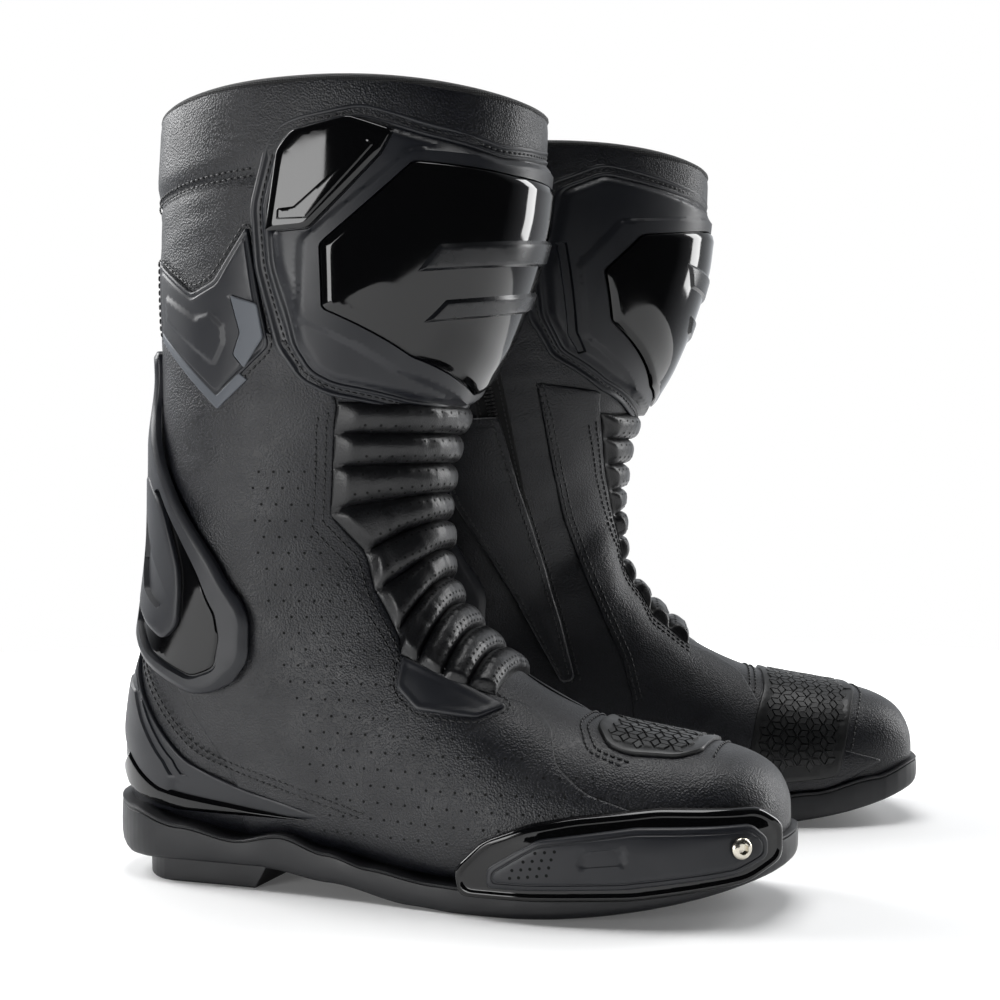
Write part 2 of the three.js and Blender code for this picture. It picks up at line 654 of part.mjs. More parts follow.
// ---- heel counter: one shell round the heel, drawn in degrees from the middle of the back ----
const counterOutline = [[-24, 107], [-38, 92], [-52, 78], [-66, 62], [-75, 48], [-68, 34], [-40, 33], [0, 43],
  [40, 33], [68, 34], [75, 48], [66, 62], [52, 78], [38, 92], [24, 107]];
const roundHeel = (turn, z, height) => roundLeg(turn > 0 ? turn - 180 : turn + 180, z, height);
const counterHigh = skinGap + 1.8;
const onHeel = { scale: [0.75, 1], step: 11, lay: roundHeel };

// ---- toe slider: drawn along the sole's edge, in mm from the ball forwards ----
const edgeTable = [];
for (let s = 6.4; s > 0.9; s -= 0.05) {
  const k = section(s);
  const here = new THREE.Vector2(k.fx, k.middle - k.outside);
  const before = edgeTable.at(-1);
  const run = before ? before.run + before.here.distanceTo(here) : 0;
  edgeTable.push({ s, run, here });
}
function edgeSection(run) {
  let i = 1;
  while (i < edgeTable.length - 1 && edgeTable[i].run < run) i += 1;
  const [a, b] = [edgeTable[i - 1], edgeTable[i]];
  return a.s + ((b.s - a.s) * (run - a.run)) / (b.run - a.run);
}
// Above the upper's widest line the slider leans in with the leather; below, it is upright.
const rimClear = soleRim + skinGap;
function alongEdge(run, z, height) {
  const s = edgeSection(run);
  const k = section(s);
  const widest = k.fz + (k.bz - k.fz) * k.widest;
  const lift = Math.max(0, z - widest) / Math.max(1, k.fz - widest);
  const turn = -90 + 62 * Math.min(lift, 1);
  const p = offLast(s, turn, rimClear + height);
  return new THREE.Vector3(p.x, p.y, z * gradeZ);
}
const trayOutline = [[2, 9], [0, 20], [12, 33], [28, 40], [46, 44], [78, 48], [118, 48], [130, 41], [130, 26],
  [114, 18], [70, 11], [30, 9]];
const sliderOutline = [[14, 14], [14, 22], [34, 35], [70, 41], [114, 42], [121, 36], [121, 28], [108, 22],
  [66, 16], [30, 14]];
const trayThickness = 2.6;
const sliderThickness = 2.2;
const screwRun = 109;
const screwZ = 33;
const onEdge = { scale: [1, 1], step: 14, lay: alongEdge };
function sliderPlate(points, radius, low, high, hole) {
  const body = solidOf(slab(points, radius, low, high, onEdge));
  const disc = new THREE.CylinderGeometry(screwRadius + hole, screwRadius + hole, 20, 16);
  disc.rotateX(Math.PI / 2).translate(screwRun, screwZ, low);
  return bend(geometryOf(body.subtract(solidOf(disc))), onEdge);
}

function sliderScrew() {
  const low = 0.4;
  const high = trayThickness + skinGap + sliderThickness + 0.6;
  const foot = alongEdge(screwRun, screwZ, low);
  const out = alongEdge(screwRun, screwZ, high).sub(foot);
  const height = out.length();
  const r = screwRadius;
  const profile = [[0, 0], [r * 0.8, 0], [r * 0.8, height * 0.62], [r, height * 0.7], [r * 0.86, height * 0.9],
    [r * 0.42, height], [r * 0.36, height - 1.4], [0, height - 1.4]];
  const screw = new THREE.LatheGeometry(profile.map(([a, b]) => new THREE.Vector2(a, b)), 16);
  const turn = new THREE.Quaternion().setFromUnitVectors(new THREE.Vector3(0, 1, 0), out.normalize());
  screw.applyQuaternion(turn).translate(foot.x, foot.y, foot.z);
  return screw;
}

// ---- gear shift pad and vent tag ----
const padOutline = [[221, 96], [225, 60], [230, 36], [232, 6], [232, -14], [240, -30], [250, -34], [270, -30],
  [278, -20], [279, 20], [272, 60], [267, 92]];
const tagOutline = [[151, 105], [184, 90], [196, 84], [186, 80], [160, 83], [150, 92]];

// ---- front accordion: padded ribs across the instep and the ankle ----
const accordionLow = 6;
const accordionHigh = 13.8;
const accordionGap = 2.6; // over the leather that bends under it
function accordion() {
  const turnAt = (u, v) => {
    const s = accordionLow + (accordionHigh - accordionLow) * u;
    const [out, inn] = [-30 - 26 * Math.min(1, (s - accordionLow) / 5), 16 + 34 * Math.min(1, (s - accordionLow) / 5)];
    return [s, out + (inn - out) * v];
  };
  const top1 = (u, v) => {
    const swell = Math.abs(Math.sin(Math.PI * u * ribCount)) * Math.min(1, 4 * Math.min(v, 1 - v) + 0.15);
    return offLast(...turnAt(u, v), accordionGap + 1.2 + ribHeight * swell);
  };
  return gridSolid(ribCount * 3, 5, top1, (u, v) => offLast(...turnAt(u, v), accordionGap));
}

// ---- zip, its slider and its flap, on the inner side ----
const zipTop = [62, 330];
const zipBottom = [103, 132];
const chainLow = 0.9;
const chainHigh = 2.3;
function zipChain() {
  const [dx, dz] = [zipBottom[0] - zipTop[0], zipBottom[1] - zipTop[1]];
  const half = zipWidth / 2 / Math.hypot(dx, dz);
  const [nx, nz] = [-dz * half, dx * half];
  const strip = [[zipTop[0] - nx, zipTop[1] - nz], [zipTop[0] + nx, zipTop[1] + nz],
    [zipBottom[0] + nx, zipBottom[1] + nz], [zipBottom[0] - nx, zipBottom[1] - nz]];
  return layOn({ ...insideWall, step: 20 }, strip, 1, chainLow, chainHigh);
}
// The slider sits at the top of the chain and runs straight down; its body is proud of the bulge between.
const sliderAt = [64.5, 318];
const sliderRun = 85;
const runShare = sliderRun / Math.hypot(zipBottom[0] - zipTop[0], zipBottom[1] - zipTop[1]);
const sliderEnd = [sliderAt[0] + (zipBottom[0] - zipTop[0]) * runShare, sliderAt[1] + (zipBottom[1] - zipTop[1]) * runShare];
const sliderLift = 4.6;
const sliderDepth = 2.4;
function sliderFrame() {
  const from = onSide(...sliderAt, 0, inside);
  const to = onSide(...sliderEnd, 0, inside);
  const down = to.clone().sub(from).normalize();
  const outwards = onSide(...sliderAt, 10, inside).sub(from);
  const across = new THREE.Vector3().crossVectors(outwards, down).normalize();
  const proud = new THREE.Vector3().crossVectors(down, across).normalize();
  return { from, down, across, proud };
}
function inFrame(geometry, along, out) {
  const { from, down, across, proud } = sliderFrame();
  const basis = new THREE.Matrix4().makeBasis(down, across, proud);
  const place = from.clone().addScaledVector(down, along).addScaledVector(proud, out);
  return geometry.applyMatrix4(basis).translate(place.x, place.y, place.z);
}
function zipSlider() {
  const body = outline([[-6, -3], [-6, 3], [2, 5], [6, 4], [6, -4], [2, -5]].map(([a, b]) => [(a * sliderLength) / 12, b]), 1.5);
  const geometry = new THREE.ExtrudeGeometry(body, { depth: sliderDepth, bevelEnabled: false, curveSegments: 2 });
  return inFrame(geometry, 0, sliderLift);
}
const pullWidth = 8;
const pullDepth = 1.4;
const pullHinge = { along: -3, out: sliderLift + sliderDepth + gap + pullDepth / 2 };
function zipPull() {
  const tab = outline([[-pullDepth / 2, -2.5], [-pullDepth / 2, 2.5], [8, pullWidth / 2], [pullLength, pullWidth / 2],
    [pullLength, -pullWidth / 2], [8, -pullWidth / 2]], 1.5);
  const geometry = new THREE.ExtrudeGeometry(tab, { depth: pullDepth, bevelEnabled: false, curveSegments: 2 });
  return inFrame(geometry, pullHinge.along, pullHinge.out - pullDepth / 2);
}

const flapTop = [89, 213];
const flapBottom = [129, 76];
const flapOutline = [flapTop, [99, 176], [111, 138], [121, 106], flapBottom, [122, 74], [98, 117], [68, 166],
  [60, 186], [60, 211]];
const flapLow = 3.6;
const flapHigh = flapLow + 2;
// ---- the boot's pieces ----
function rightBoot() {
  const { leather: hide, mattePlastic, glossPlastic, rubber, steel, reflective, textile, board } = finishes;
  return {
    outsole: [outsole(), rubber],
    heel_block: [heelBlock(), rubber],
    shank: [shankPath(shankWidth, 0, shankThickness), steel],
    foot_upper: [shell(toeTip, footEdge, footRows, 0, -footWall, true), hide],
    toe_puff: [toePuff(), board],
    insole_board: [floorLayer(boardLow, boardHigh), board],
    footbed: [floorLayer(bedLow, bedHigh), textile],
    heel_counter: [layOn(onHeel, counterOutline, 3, skinGap, counterHigh), mattePlastic],
    toe_slider_tray: [sliderPlate(trayOutline, 3, 0, trayThickness, gap), glossPlastic],
    toe_slider_insert: [
      sliderPlate(sliderOutline, 3, trayThickness + skinGap, trayThickness + skinGap + sliderThickness, gap),
      mattePlastic,
    ],
    toe_slider_screw: [sliderScrew(), steel],
    shift_pad: [layOn(onFoot, padOutline, 4, skinGap, skinGap + 1.6), rubber],
    vent_tag: [layOn(outsideWall, tagOutline, 2, 1, 2.6), rubber],
    ankle_leather: [shell(gapAfter(footEdge), gapBefore(shaftEdge), 4, 0, -leather), hide],
    front_accordion: [accordion(), hide],
    shaft_upper: [shell(shaftEdge, rimAt(5), 6, 0, -leather), hide],
    shaft_lining: [shell(shaftEdge, rimAt(6), 6, -leather - gap, -leather - gap - lining), textile],
    rim_binding: [shell(rimAt(5 - gap), rimAt(0), 1, 0.8, -leather - 1.6), textile],
    shin_plate: [layOn(onLeg, shinOutline, 5, legGap, plateHigh), mattePlastic],
    shin_insert: [layOn(onLeg, insertOutline, 4, insertLow, insertHigh), glossPlastic],
    shin_corner_insert: [layOn(onLeg, cornerOutline, 4, insertLow, insertHigh - 0.4), glossPlastic],
    calf_panel: [layOn(outsideWall, calfOutline, 3, skinGap, calfHigh), mattePlastic],
    calf_reflector: [layOn(outsideWall, stripOutline, 1.5, stripLow, stripLow + 0.8), reflective],
    outer_brace: [ankleBrace(braceOutline, loopOutline), mattePlastic],
    outer_brace_insert: [
      layOn(onLeg, shrink(loopOutline, loopInset), 4, braceHigh - pocket + gap + 0.3, braceHigh - 0.2),
      glossPlastic,
    ],
    inner_brace: [ankleBrace(mirrorTurn(braceOutline), mirrorTurn(loopOutline)), mattePlastic],
    zip_chain: [zipChain(), textile],
    zip_slider: [zipSlider(), steel],
    zip_pull: [zipPull(), mattePlastic],
    zip_flap: [layOn(insideWall, flapOutline, 2.5, flapLow, flapHigh), hide],
  };
}
// Edges of the soft ankle leather, a little inside its stiff neighbours.
const edgeStep = 0.05; // of a section
const gapAfter = (edge) => (turn) => edge(turn) + edgeStep;
const gapBefore = (edge) => (turn) => edge(turn) - edgeStep;

// ---- the pair ----
function mirrored(geometry) {
  const copy = geometry.clone().scale(1, -1, 1);
  const index = Array.from(copy.index.array);
  for (let t = 0; t < index.length; t += 3) [index[t], index[t + 1]] = [index[t + 1], index[t]];
  copy.setIndex(index);
  return copy;
}

function bootGroup(pieces, side) {
  const group = new THREE.Group();
  for (const [name, [geometry, finish]] of Object.entries(pieces)) {
    const whole = geometry.index ? geometry : indexed(geometry.clone());
    const mesh = new THREE.Mesh(side === 'left' ? mirrored(whole) : whole, new THREE.MeshStandardMaterial(finish));
    mesh.name = `${side}_${name}`;
    group.add(mesh);
  }
  return group;
}

const pieces = rightBoot();
const right = bootGroup(pieces, 'right');
const left = bootGroup(pieces, 'left');
const turnCentre = new THREE.Vector3(150 * gradeX, 0, 0);
left.rotation.z = THREE.MathUtils.degToRad(leftTurn);
left.position.copy(turnCentre).sub(turnCentre.clone().applyEuler(left.rotation));
left.position.add(new THREE.Vector3(leftAhead * gradeX, leftBehind * gradeY, 0));

const pair = new THREE.Group();
pair.add(right, left);
pair.updateMatrixWorld(true);
const box = new THREE.Box3().setFromObject(pair, true);
const middle = box.getCenter(new THREE.Vector3());
pair.position.set(-middle.x, -middle.y, -box.min.z);

export default pair;
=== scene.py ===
# %% [markdown]
# # A pair of motorcycle riding boots
# Every piece follows the shape of the wearer's leg and foot. So the lesson starts with that shape,
# the maker's last, and then lays flat patterns on it, as a shoemaker does with leather.
# The right boot is worked out once, in millimetres, and each piece is placed twice:
# as it is for the right boot, and mirrored and turned for the left one.

# %% The frame
import json
import math

import bpy
import numpy as np
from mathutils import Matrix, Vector
from mathutils.geometry import delaunay_2d_cdt


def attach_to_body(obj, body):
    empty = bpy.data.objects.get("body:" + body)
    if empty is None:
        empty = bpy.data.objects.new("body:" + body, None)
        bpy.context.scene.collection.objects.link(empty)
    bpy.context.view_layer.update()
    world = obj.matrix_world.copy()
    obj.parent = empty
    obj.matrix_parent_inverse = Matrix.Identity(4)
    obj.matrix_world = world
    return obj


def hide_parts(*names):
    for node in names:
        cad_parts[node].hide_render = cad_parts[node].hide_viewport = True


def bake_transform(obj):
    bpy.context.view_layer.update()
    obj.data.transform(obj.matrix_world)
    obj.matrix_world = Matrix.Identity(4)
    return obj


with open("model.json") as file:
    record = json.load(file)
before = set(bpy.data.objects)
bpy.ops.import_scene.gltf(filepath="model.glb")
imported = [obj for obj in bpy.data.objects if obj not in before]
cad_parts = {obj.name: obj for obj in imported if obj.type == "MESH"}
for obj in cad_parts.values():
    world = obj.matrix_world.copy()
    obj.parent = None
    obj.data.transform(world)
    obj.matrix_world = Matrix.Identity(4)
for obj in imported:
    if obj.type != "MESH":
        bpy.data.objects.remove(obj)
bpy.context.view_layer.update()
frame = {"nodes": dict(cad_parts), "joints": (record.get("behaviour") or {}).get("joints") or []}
joints = {joint["name"]: joint for joint in frame["joints"]}
print("nodes in the frame:", len(frame["nodes"]), "joints:", len(joints))

# %% [markdown]
# The ankle joints say where each boot stands: the joint's point is a known place on the last, and
# its axis runs across the boot. The left boot is a mirror image, so its inner side faces the other way.

# %% Placing the boots
SIDES = ("right", "left")
ANKLE = np.array([72.0, 0.0, 100.0])
UP = np.array([0.0, 0.0, 1.0])


def standing(side):
    joint = joints[f"{side}_ankle_flex"]
    axis = np.array(joint["axis"], float)
    ahead = np.cross(axis, UP)
    inwards = axis if side == "right" else -axis
    turn = np.stack([ahead, inwards, UP])
    return np.array(joint["pos_m"], float) - ANKLE @ turn / 1000, turn


STANDING = {side: standing(side) for side in SIDES}


def to_world(points, side):
    origin, turn = STANDING[side]
    return points @ turn / 1000 + origin


print("right boot stands at", STANDING["right"][0], "left at", STANDING["left"][0])

# %% [markdown]
# ## The last
# Each row is one section across the boot, from the tip of the toe, round the ankle and up to the
# collar: front x and z, back x and z, half widths outside and inside, middle, where it is widest,
# and how square its front and back halves are. A smooth curve runs through the rows.

# %% Sections of the last
SECTIONS = np.array([
    [311, 39, 311, 36, 1, 1, 9, 0.5, 2, 2],
    [309, 50, 309, 27, 17, 16, 9, 0.55, 2.2, 3],
    [302, 60, 302, 22, 29, 27, 8, 0.6, 2.3, 3.5],
    [287, 67, 286, 17, 40, 38, 6, 0.66, 2.3, 4],
    [263, 71, 261, 12, 47, 45, 4, 0.7, 2.3, 4],
    [228, 78, 222, 9, 51, 47, 1, 0.72, 2.2, 4],
    [199, 91, 192, 8.5, 51, 46, 0, 0.72, 2.2, 4],
    [175, 110, 162, 9.5, 48, 43, 0, 0.72, 2.2, 4],
    [159, 130, 130, 14, 44, 41, 0, 0.7, 2.2, 4],
    [155, 147, 88, 17, 41, 40, 0, 0.66, 2.2, 4],
    [155, 160, 45, 17, 40, 40, 0, 0.6, 2.2, 3.5],
    [154, 168, 14, 23, 40, 40, 0, 0.56, 2.2, 2.8],
    [155, 176, 3, 47, 41, 41, 0, 0.54, 2.2, 2.4],
    [157, 192, 5, 80, 43, 43, 0, 0.52, 2.2, 2.3],
    [161, 208, 15, 112, 46, 46, 0, 0.5, 2.2, 2.3],
    [167, 222, 21, 145, 49, 49, 0, 0.5, 2.2, 2.3],
    [176, 239, 23, 182, 53, 53, 0, 0.5, 2.2, 2.3],
    [186, 262, 23, 222, 57, 57, 0, 0.5, 2.2, 2.2],
    [195, 290, 22, 265, 61, 61, 0, 0.5, 2.2, 2.2],
    [200, 318, 23, 305, 63, 63, 0, 0.5, 2.2, 2.2],
    [202, 356, 26, 356, 64, 64, 0, 0.5, 2.2, 2.2],
], float)
TOP = len(SECTIONS) - 1


def section(s):
    s = np.asarray(s, float)
    i = np.clip(np.floor(s).astype(int), 0, TOP - 1)
    t = (s - i)[..., None]
    a, b, c, d = (SECTIONS[np.clip(i + k, 0, TOP)] for k in (-1, 0, 1, 2))
    return 0.5 * (2 * b + (c - a) * t + (2 * a - 5 * b + 4 * c - d) * t**2 + (3 * b - a - 3 * c + d) * t**3)


def last(s, turn):
    fx, fz, bx, bz, outer, inner, middle, widest, front, back = np.moveaxis(section(s), -1, 0)
    c, q = np.cos(np.radians(turn)), np.sin(np.radians(turn))
    power = 2 / np.where(c > 0, front, back)
    along = widest - np.abs(c) ** power * np.where(c > 0, widest, widest - 1)
    across = np.sign(q) * np.abs(q) ** power * np.where(q > 0, inner, outer)
    return np.stack([fx + (bx - fx) * along, middle + across, fz + (bz - fz) * along], -1)


def normal_at(s, turn):
    low, high = np.maximum(s - 0.12, 0.02), np.minimum(s + 0.12, TOP)
    normal = np.cross(last(s, turn + 3) - last(s, turn - 3), last(high, turn) - last(low, turn))
    return normal / np.linalg.norm(normal, axis=-1, keepdims=True)


def off_last(s, turn, height):
    s, turn, height = np.broadcast_arrays(np.asarray(s, float), turn, height)
    return last(s, turn) + normal_at(s, turn) * height[..., None]


print("last from", last(0.0, 0.0), "to", last(float(TOP), 0.0))

# %% [markdown]
# ## Ways to lay a pattern
# A pattern is drawn flat, in the units that are easiest for that place: degrees round the leg and
# height, or distance along the boot and height as seen from one side. Each way turns a drawn point
# and a height above the leather into a point in space.

# %% Laying patterns on the last
def root(rising, low, high, shape):
    low, high = np.full(shape, float(low)), np.full(shape, float(high))
    for _ in range(28):
        mid = (low + high) / 2
        below = rising(mid) < 0
        low, high = np.where(below, mid, low), np.where(below, high, mid)
    return (low + high) / 2


ANKLE_SECTION = 8


def leg_place(turn, z):
    return root(lambda s: last(s, turn)[..., 2] - z, ANKLE_SECTION, TOP, np.shape(turn)), turn


def foot_place(x, turn):
    return root(lambda s: x - section(s)[..., 0], 0, ANKLE_SECTION, np.shape(x)), turn


def heel_place(turn, z):
    return leg_place(np.where(turn > 0, turn - 180, turn + 180), z)


def side_place(x, z, side):
    def beyond(s):
        k = section(s)
        return (k[..., 2] - k[..., 0]) * (z - k[..., 1]) - (k[..., 3] - k[..., 1]) * (x - k[..., 0])

    s = root(beyond, 0.5, TOP, np.shape(x))
    fx, fz, bx, bz, _, _, _, widest, front, back = np.moveaxis(section(s), -1, 0)
    ux, uz = bx - fx, bz - fz
    share = ((x - fx) * ux + (z - fz) * uz) / (ux**2 + uz**2)
    ahead = share < widest
    reach = np.minimum(np.abs(share - widest) / np.where(ahead, widest, 1 - widest), 0.999)
    c = reach ** (np.where(ahead, front, back) / 2)
    return s, side * np.degrees(np.arccos(np.where(ahead, c, -c)))


def laying(place, scale):
    def lay(a, b, height):
        return off_last(*place(a, b), height)

    lay.place, lay.scale = place, np.array(scale, float)
    return lay


on_leg = laying(leg_place, (1.07, 1))
on_heel = laying(heel_place, (0.85, 1))
on_foot = laying(foot_place, (1, 0.85))
outside_wall = laying(lambda x, z: side_place(x, z, -1), (1, 1))
inside_wall = laying(lambda x, z: side_place(x, z, 1), (1, 1))
print("a point on the outer wall:", outside_wall(np.array(100.0), np.array(150.0), np.array(0.0)))

# %% [markdown]
# The toe slider follows the sole's edge, so it has a way of its own: distance along the edge from
# the ball of the foot forwards, and height above the floor.

# %% Along the sole's edge
SOLE_RIM = 3.0
edge_s = np.arange(6.4, 0.9, -0.05)
edge_k = section(edge_s)
edge_xy = np.stack([edge_k[:, 0], edge_k[:, 6] - edge_k[:, 4]], -1)
edge_run = np.concatenate([[0], np.cumsum(np.linalg.norm(np.diff(edge_xy, axis=0), axis=1))])


def on_edge(run, z, height):
    s = np.interp(run, edge_run, edge_s)
    k = section(s)
    fz, bz, widest_share = k[..., 1], k[..., 3], k[..., 7]
    widest = fz + (bz - fz) * widest_share
    lift = np.clip((z - widest) / np.maximum(1, fz - widest), 0, 1)
    point = off_last(s, -90 + 62 * lift, SOLE_RIM + 1.2 + height)
    point[..., 2] = z
    return point


on_edge.scale = np.ones(2)
print("length of the slider's edge:", edge_run[-1].round(1), "mm")

# %% [markdown]
# ## Panels
# Most of the boot is panels: moulded shields, leather pieces and labels. One function makes them
# all. It takes a drawn outline, rounds its corners, steps in along an edge profile, fills the face
# with fine triangles and bends the whole on the last. A relief function raises or sinks the face
# softly, and a step does so with a crisp edge, because its outline becomes edges of the mesh.

# %% Flat shapes
def rounded(corners, radius, inset, counts=None, step=1.6):
    corners = np.asarray(corners, float)
    before, after = np.roll(corners, 1, 0), np.roll(corners, -1, 0)
    area = np.sum(before[:, 0] * corners[:, 1] - corners[:, 0] * before[:, 1])
    way = 1 if area > 0 else -1
    unit = lambda v: v / np.linalg.norm(v, axis=1, keepdims=True)
    e0, e1 = unit(corners - before), unit(after - corners)
    n0, n1 = way * np.stack([-e0[:, 1], e0[:, 0]], 1), way * np.stack([-e1[:, 1], e1[:, 0]], 1)
    mitre = unit(n0 + n1)
    moved = corners + mitre * (inset / np.maximum(np.sum(mitre * n0, axis=1), 0.5))[:, None]
    before, after = np.roll(moved, 1, 0), np.roll(moved, -1, 0)
    cut = lambda q: moved + (q - moved) * np.minimum(
        radius / np.maximum(np.linalg.norm(q - moved, axis=1), 1e-6), 0.45)[:, None]
    a, b = cut(before), cut(after)
    t = np.linspace(0, 1, 6)[:, None]
    straight = np.roll(a, -1, 0) - b
    if counts is None:
        counts = np.maximum(1, np.ceil(np.linalg.norm(straight, axis=1) / step)).astype(int)
    points = []
    for i in range(len(moved)):
        points.append(a[i] * (1 - t) ** 2 + moved[i] * 2 * t * (1 - t) + b[i] * t**2)
        share = np.arange(1, counts[i])[:, None] / counts[i]
        points.append(b[i] + straight[i] * share)
    return np.concatenate(points), counts


def distance(points, line, closed=False):
    line = np.asarray(line, float)
    ends = np.roll(line, -1, 0) if closed else line[1:]
    best = np.full(len(points), 1e9)
    for a, b in zip(line if closed else line[:-1], ends):
        d = b - a
        t = np.clip(((points - a) @ d) / max(d @ d, 1e-9), 0, 1)
        best = np.minimum(best, np.linalg.norm(points - a - t[:, None] * d, axis=1))
    return best


def within(points, shape):
    shape = np.asarray(shape, float)
    result = np.zeros(len(points), bool)
    x, y = points[:, 0], points[:, 1]
    for (ax, ay), (bx, by) in zip(shape, np.roll(shape, -1, 0)):
        if ay == by:
            continue
        crosses = (ay > y) != (by > y)
        result ^= crosses & (x < ax + (bx - ax) * (y - ay) / (by - ay))
    return result


def signed(points, shape, scale):
    shape = np.asarray(shape, float) * scale
    flat = points * scale
    d = distance(flat, shape, True)
    return np.where(within(flat, shape), d, -d)


def smooth(t):
    t = np.clip(t, 0, 1)
    return t * t * (3 - 2 * t)


square = [(0, 0), (10, 0), (10, 10), (0, 10)]
print("points round a rounded square:", len(rounded(square, 2, 1)[0]))

# %% The panel maker
def turned_out(points, faces):
    """Flips a closed shell whose faces point inwards."""
    volume = 0.0
    for size in (3, 4):
        group = np.array([f for f in faces if len(f) == size])
        for k in range(1, size - 1) if len(group) else ():
            a, b, c = points[group[:, 0]], points[group[:, k]], points[group[:, k + 1]]
            volume += np.sum(a * np.cross(b, c))
    return faces if volume > 0 else [tuple(reversed(f)) for f in faces]


def panel(corners, lay, profile, radius=3.0, fill=1.8, relief=None, under=None, shift=None, steps=()):
    """profile: (inset, height) from the bottom of the edge to the face. relief(points, depth) is
    added to the face, where depth is how far a point is from the outline. Each step raises the face
    inside its own corners by rise, between two lines moved out by outer and inner."""
    drawn = np.asarray(corners, float) * lay.scale
    rings, counts = [], None
    for inset, _ in profile:
        ring, counts = rounded(drawn, radius, inset, counts)
        rings.append(ring)
    rim, count = rings[-1], len(rings[-1])
    low, high = rim.min(0), rim.max(0)
    gx, gy = np.meshgrid(np.arange(low[0], high[0], fill), np.arange(low[1], high[1], fill * 0.87))
    gx[1::2] += fill / 2
    grid = np.stack([gx.ravel(), gy.ravel()], 1)
    grid = grid[within(grid, rim)]
    grid = grid[distance(grid, rim, True) > fill * 0.45]
    lines, edges, start = [], [], count
    for corners_in, bend, _, outer, inner in steps:
        shape, counts_in = np.asarray(corners_in, float) * lay.scale, None
        for move in (outer, inner):
            ring, counts_in = rounded(shape, bend, -move, counts_in)
            grid = grid[distance(grid, ring, True) > fill * 0.4]
            clear = within(ring, rim) & (distance(ring, rim, True) > 0.25)
            number = start + np.cumsum(clear) - 1
            lines.append(ring[clear])
            edges += [(int(number[i - 1]), int(number[i])) for i in range(len(ring)) if clear[i - 1] and clear[i]]
            start += int(clear.sum())
    flat = np.concatenate([rim, *lines, grid])
    cdt = delaunay_2d_cdt([Vector(p) for p in flat], edges, [list(range(count))], 1, 1e-6)
    on_rim = {i: made[0] for i, made in enumerate(cdt[3]) if made and made[0] < count}
    inside = [i for i in range(len(cdt[0])) if i not in on_rim]
    origin = on_rim | {i: count + k for k, i in enumerate(inside)}
    grid = np.array([tuple(cdt[0][i]) for i in inside]).reshape(-1, 2)
    flat = np.concatenate([rim, grid])
    fills = [tuple(origin[i] for i in f) for f in cdt[2]]
    face_height = np.full(len(flat), float(profile[-1][1]))
    if relief is not None:
        face_height += relief(flat / lay.scale, distance(flat, rings[0], True))
    for corners_in, bend, rise, outer, inner in steps:
        shape = rounded(np.asarray(corners_in, float) * lay.scale, bend, 0)[0]
        face_height += rise * np.clip((signed(flat, shape, 1) + outer) / (outer - inner), 0, 1)
    points, heights = [np.concatenate(rings[:-1] + [flat])], []
    for (_, height), ring in zip(profile[:-1], rings[:-1]):
        heights.append(np.full(len(ring), float(height)))
    heights.append(face_height)
    faces = []
    for k in range(len(rings) - 1):
        a, b = k * count, (k + 1) * count
        faces += [(a + i, a + (i + 1) % count, b + (i + 1) % count, b + i) for i in range(count)]
    top = (len(rings) - 1) * count
    faces += [tuple(top + i for i in f) for f in fills]
    # the underside repeats the fill, with the first ring as its edge
    below = len(points[0]) - count
    points.append(grid)
    heights.append(np.full(len(grid), float(profile[0][1]) if under is None else float(under)))
    faces += [tuple(i if i < count else below + i for i in reversed(f)) for f in fills]
    first = faces[0]
    ring_order = first[0] < first[1]
    xy = np.concatenate(points) / lay.scale
    heights = np.concatenate(heights) + (0 if shift is None else shift(xy))
    placed = lay(xy[:, 0], xy[:, 1], heights)
    # sides and fills must turn the same way round
    side_area = np.sum(np.roll(rim, 1, 0)[:, 0] * rim[:, 1] - rim[:, 0] * np.roll(rim, 1, 0)[:, 1])
    a, b, c = (flat[i] for i in fills[0])
    fill_area = (b[0] - a[0]) * (c[1] - a[1]) - (b[1] - a[1]) * (c[0] - a[0])
    if (side_area > 0) != (fill_area > 0) or not ring_order:
        start = (len(rings) - 1) * count
        faces[:start] = [tuple(reversed(f)) for f in faces[:start]]
    return placed, turned_out(placed, faces)


test_points, test_faces = panel([(-10, 250), (10, 250), (10, 270), (-10, 270)], on_leg, [(0, 0), (1, 1)])
print("a test panel has", len(test_points), "points and", len(test_faces), "faces")

# %% [markdown]
# ## From points to objects
# Every piece is made for the right boot and placed for both. A piece rides on one body, or, if it
# belongs to the soft ankle, stays where it is made and rides on no body. The ends of a band that
# leans forwards across the ankle are worked out for those pieces, but nothing uses them.

# %% Making and placing pieces
BEND_LOW = np.array([72.0, 0.0, 90.0])
BEND_HIGH = np.array([53.5, 0.0, 162.0])
made = {}


def attach(piece, side, body, nodes):
    if body == "ankle":
        start, end = (to_world(p[None], side)[0] for p in (BEND_LOW, BEND_HIGH))
        tuple(start)
        tuple(end)
        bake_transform(piece)
    else:
        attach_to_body(piece, f"{side}_{body}")
    if nodes:
        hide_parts(*[f"{side}_{node}" for node in nodes])
    made[piece.name] = len(piece.data.polygons)


def build(name, shape, material, body, nodes=(), crease=35):
    points, faces = shape
    pieces = []
    for side in SIDES:
        mesh = bpy.data.meshes.new(f"{side}_{name}")
        turned = faces if side == "right" else [tuple(reversed(f)) for f in faces]
        mesh.from_pydata(to_world(points, side).tolist(), [], turned)
        mesh.materials.append(material)
        mesh.shade_smooth()
        mesh.set_sharp_from_angle(angle=math.radians(crease))
        piece = bpy.data.objects.new(f"{side}_{name}", mesh)
        bpy.context.scene.collection.objects.link(piece)
        attach(piece, side, body, nodes)
        pieces.append(piece)
    print(f"{name}: {len(points)} points, {len(faces)} faces on each boot")
    return pieces


# %% [markdown]
# ## Materials
# Colours are written as hex values, as a designer picks them, and turned to linear light. One
# function adds a node. Patterns are sized in millimetres: object coordinates are in metres, so a
# Mapping node multiplies them by a thousand first.

